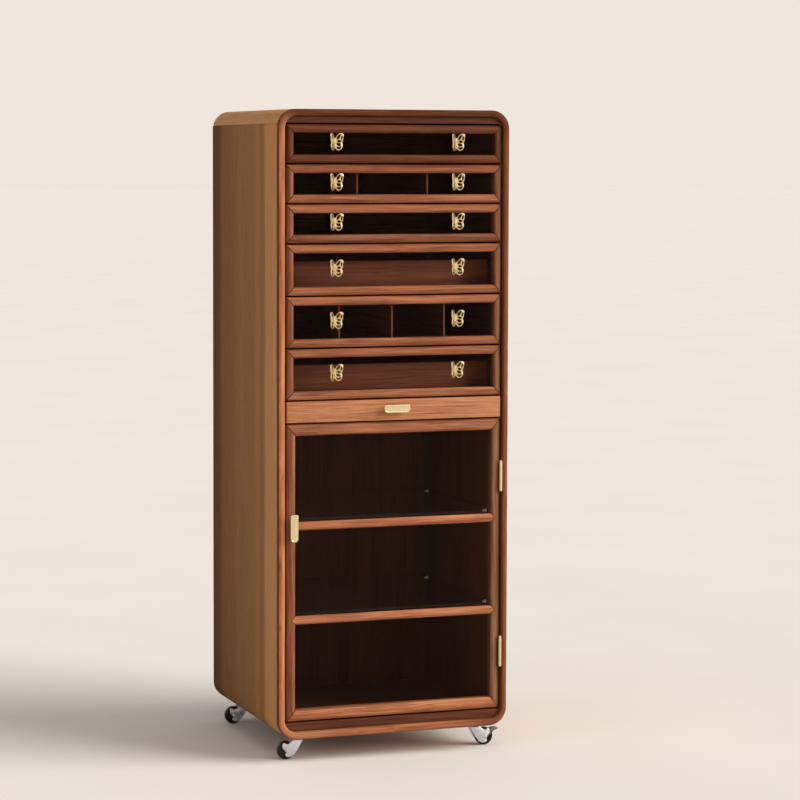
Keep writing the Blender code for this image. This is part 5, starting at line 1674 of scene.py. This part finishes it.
class CABINET_OT_casters(bpy.types.Operator):
    """Build one caster of each hand, with the brake on the right-hand ones"""
    bl_idname = "cabinet.casters"
    bl_label = "Casters"

    def execute(self, context):
        for label, side in CASTERS.items():
            node = f"caster_{label}"
            low, high = BOX[node + "_fork"]
            tail_x = low.x if side > 0 else high.x
            stem = Vector((tail_x + side * FORK_TAIL, (low.y + high.y) / 2, 0))
            wheel_low, wheel_high = BOX[node + "_wheel"]
            axle = (wheel_low + wheel_high) / 2
            self.fork(node, side, stem, axle)
            self.wheel(node, axle)
            if side > 0:
                self.brake(node, axle)
        return {"FINISHED"}

    def fork(self, node, side, stem, axle):
        """Two cheeks under a crown, the swivel race with its stem, and a riveted axle."""
        outline = [(side * u * FORK_REACH, v * FORK_H) for u, v in FORK_SHARES]
        parts = []
        for cheek in (-1, 1):
            parts.append(moved(plate("cheek", [outline], FORK_T, FORK_EASE, smooth=False),
                               (stem.x, stem.y + cheek * (FORK_W - FORK_T) / 2, 0)))
        ends = sorted(x for x, _ in outline[:2])
        crown = cube("fork_crown", (ends[0], -FORK_W / 2, FORK_H - CROWN_T),
                     (ends[1], FORK_W / 2, FORK_H))
        with editing(crown):
            pick(crown, "EDGE", lambda e: runs(e, 0) and middle(e).z > FORK_H - CROWN_T / 2)
            bpy.ops.mesh.bevel(offset=CROWN_EASE, segments=4, affect="EDGES")
        parts.append(moved(crown, stem))
        parts.append(moved(turned("swivel_race", SWIVEL_RACE, 40), stem))
        rivet = turned("axle", mirrored(FORK_W / 2 + AXLE_PROUD, AXLE_HEAD), 28)
        parts.append(moved(rivet, axle, (90, 0, 0)))
        done(coated(joined(node + "_yoke", parts), FINISH["zinc"]), node,
             [node + "_fork"])

    def wheel(self, node, axle):
        """Tyre on a hub with recessed faces; the tread stands on the floor."""
        tread = [(axle.z + step, depth) for step, depth in TREAD_EASE]
        wall = mirrored(WHEEL_HALF, [*TYRE_WALL, *tread])
        tyre = coated(turned("tyre", wall + wall[:1], 64), FINISH["tyre"])
        face = mirrored(WHEEL_HALF, HUB_FACE)
        hub = coated(turned("hub", face + face[:1], 48), FINISH["hub"])
        done(moved(joined(node + "_roller", [tyre, hub]), axle, (90, 0, 0)), node + "_wheel",
             [node + "_wheel"])

    def brake(self, node, axle):
        """Pressed lever over the wheel, bored for the axle, with ribs for the shoe."""
        outline = [(u * BRAKE_REACH, v * BRAKE_H) for u, v in BRAKE_SHARES]
        lever = plate("brake_lever", [outline], BRAKE_W, BRAKE_EASE, smooth=False)
        room = rod("wheel_room", BRAKE_ROOM_R, -BRAKE_ROOM_HALF, BRAKE_ROOM_HALF, 48)
        bore = rod("axle_bore", BRAKE_BORE_R, -BRAKE_W, BRAKE_W, 24)
        parts = [carved(lever, *(moved(tool, turn=(90, 0, 0)) for tool in (room, bore)))]
        for step in range(3):
            x = RIB_START + step * RIB_STEP
            parts.append(board("tread_rib", (x, -RIB_HALF, RIB_TOP - RIB_H),
                               (x + RIB_W, RIB_HALF, RIB_TOP), RIB_EASE, 1))
        done(moved(coated(joined(node + "_pedal", parts), FINISH["black_steel"]), axle),
             node + "_brake", [node + "_brake"])


# Stage

FLOOR_R = 90.0
FLOOR_MOTTLE = 0.5
AMBIENT = 0.28
# Name, place it shines from, width in degrees and strength of each soft lamp
LAMPS = (
    ("key_lamp", (3.7, -2.5, 2.25), 45, 3.8),
    ("fill_lamp", (-3.6, -1.2, 1.0), 60, 0.55),
    ("top_lamp", (0.2, -0.8, 4.0), 60, 0.5),
)
# The camera, as worked out from the edges in the photograph: lens and sensor in millimetres,
# turn to the right, dip and roll in degrees
LENS = 124.62
SENSOR = 36.0
LENS_SHIFT = -0.0698
CAMERA_TURN = (19.9867, 3.9377, 0.173)
CAMERA_SPOT = (-1.925, -5.5509, 1.2447)


class CABINET_OT_stage(bpy.types.Operator):
    """Set the floor, the surroundings, the lamps and the camera"""
    bl_idname = "cabinet.stage"
    bl_label = "Stage"

    def execute(self, context):
        colours = context.scene.cabinet_colours
        self.floor(tuple(colours.floor))
        self.surroundings(context.scene, (*colours.backdrop, 1))
        for name, spot, spread, strength in LAMPS:
            lamp = bpy.data.lights.new(name, "SUN")
            lamp.angle = math.radians(spread)
            lamp.energy = strength
            made = bpy.data.objects.new(name, lamp)
            made.location = spot
            made.rotation_euler = (-Vector(spot)).to_track_quat("-Z", "Y").to_euler()
            context.collection.objects.link(made)
        context.scene.camera = self.camera(context.collection)
        context.scene.view_settings.view_transform = "Standard"
        return {"FINISHED"}

    def floor(self, tone):
        """Wide painted floor, a little mottled."""
        bpy.ops.object.select_all(action="DESELECT")
        bpy.ops.mesh.primitive_circle_add(vertices=96, radius=FLOOR_R, fill_type="NGON")
        floor = applied(named("floor"))
        made, tree, shader = blank("painted_floor")
        place = add(tree, "ShaderNodeTexCoord").outputs["Object"]
        cloud = add(tree, "ShaderNodeTexNoise", {"Vector": place, "Scale": 1 / FLOOR_MOTTLE,
                                                 "Detail": 3.0})
        shade = add(tree, "ShaderNodeValToRGB", {"Fac": cloud.outputs["Fac"]}, stops=(
            (0.3, tuple(0.97 * part for part in tone)), (0.7, tone)))
        tree.links.new(shade.outputs["Color"], shader.inputs["Base Color"])
        shader.inputs["Roughness"].default_value = 0.8
        coated(floor, made)

    def surroundings(self, scene, tone):
        """Pale tone that the camera, mirrors and glass see, over a faint white light."""
        world = bpy.data.worlds.new("studio")
        scene.world = world
        world.use_nodes = True
        tree = world.node_tree
        tree.nodes.clear()
        path = add(tree, "ShaderNodeLightPath")
        seen = add(tree, "ShaderNodeMath", {0: path.outputs["Is Camera Ray"],
                                            1: path.outputs["Is Transmission Ray"]},
                   operation="MAXIMUM").outputs[0]
        seen = add(tree, "ShaderNodeMath", {0: seen, 1: path.outputs["Is Glossy Ray"]},
                   operation="MAXIMUM").outputs[0]
        lit = add(tree, "ShaderNodeBackground", {"Color": (1, 1, 1, 1), "Strength": AMBIENT})
        shown = add(tree, "ShaderNodeBackground", {"Color": tone, "Strength": 1.0})
        both = add(tree, "ShaderNodeMixShader", {0: seen, 1: lit.outputs[0],
                                                 2: shown.outputs[0]})
        add(tree, "ShaderNodeOutputWorld", {"Surface": both.outputs[0]})

    def camera(self, collection):
        """Camera that looks ahead along its turn and dip, and is rolled about that line."""
        lens = bpy.data.cameras.new("camera")
        lens.lens = LENS
        lens.shift_y = LENS_SHIFT
        lens.sensor_width = SENSOR
        yaw, dip, roll = (math.radians(part) for part in CAMERA_TURN)
        ahead = Vector((math.sin(yaw) * math.cos(dip), math.cos(yaw) * math.cos(dip),
                        -math.sin(dip)))
        right = Vector((math.cos(yaw), -math.sin(yaw), 0))
        up = right.cross(ahead)
        side = math.cos(roll) * right + math.sin(roll) * up
        top = -math.sin(roll) * right + math.cos(roll) * up
        camera = bpy.data.objects.new("camera", lens)
        turn = Matrix((side, top, -ahead)).transposed().to_4x4()
        camera.matrix_world = Matrix.Translation(CAMERA_SPOT) @ turn
        collection.objects.link(camera)
        return camera


class CABINET_PT_panel(bpy.types.Panel):
    """Sidebar panel with the cabinet's steps, sizes and colours"""
    bl_label = "Glazed Drawer Cabinet"
    bl_idname = "CABINET_PT_panel"
    bl_space_type = "VIEW_3D"
    bl_region_type = "UI"
    bl_category = "Cabinet"

    def draw(self, context):
        """Buttons for the steps, and under them the settings."""
        for step in STEPS:
            self.layout.operator(step.bl_idname)
        for group in (context.scene.cabinet_sizes, context.scene.cabinet_colours):
            column = self.layout.column()
            for key in group.bl_rna.properties.keys():
                if key not in ("rna_type", "name"):
                    column.prop(group, key)


STEPS = (CABINET_OT_case, CABINET_OT_rim, CABINET_OT_shelves, CABINET_OT_fronts,
         CABINET_OT_panes, CABINET_OT_boxes, CABINET_OT_pulls, CABINET_OT_tray,
         CABINET_OT_tabs, CABINET_OT_door, CABINET_OT_hinges, CABINET_OT_catch,
         CABINET_OT_casters, CABINET_OT_stage)
CLASSES = (CabinetSizes, CabinetColours, *STEPS, CABINET_PT_panel)


def register():
    """Make the classes and the settings known."""
    for cls in CLASSES:
        bpy.utils.register_class(cls)
    bpy.types.Scene.cabinet_sizes = bpy.props.PointerProperty(type=CabinetSizes)
    bpy.types.Scene.cabinet_colours = bpy.props.PointerProperty(type=CabinetColours)


def unregister():
    """Take the settings and the classes away again."""
    del bpy.types.Scene.cabinet_colours
    del bpy.types.Scene.cabinet_sizes
    for cls in reversed(CLASSES):
        bpy.utils.unregister_class(cls)


def main():
    """Register the add-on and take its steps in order."""
    register()
    make_finishes(bpy.context.scene.cabinet_colours)
    for step in STEPS:
        group, name = step.bl_idname.split(".")
        getattr(getattr(bpy.ops, group), name)()


if __name__ == "__main__":
    main()
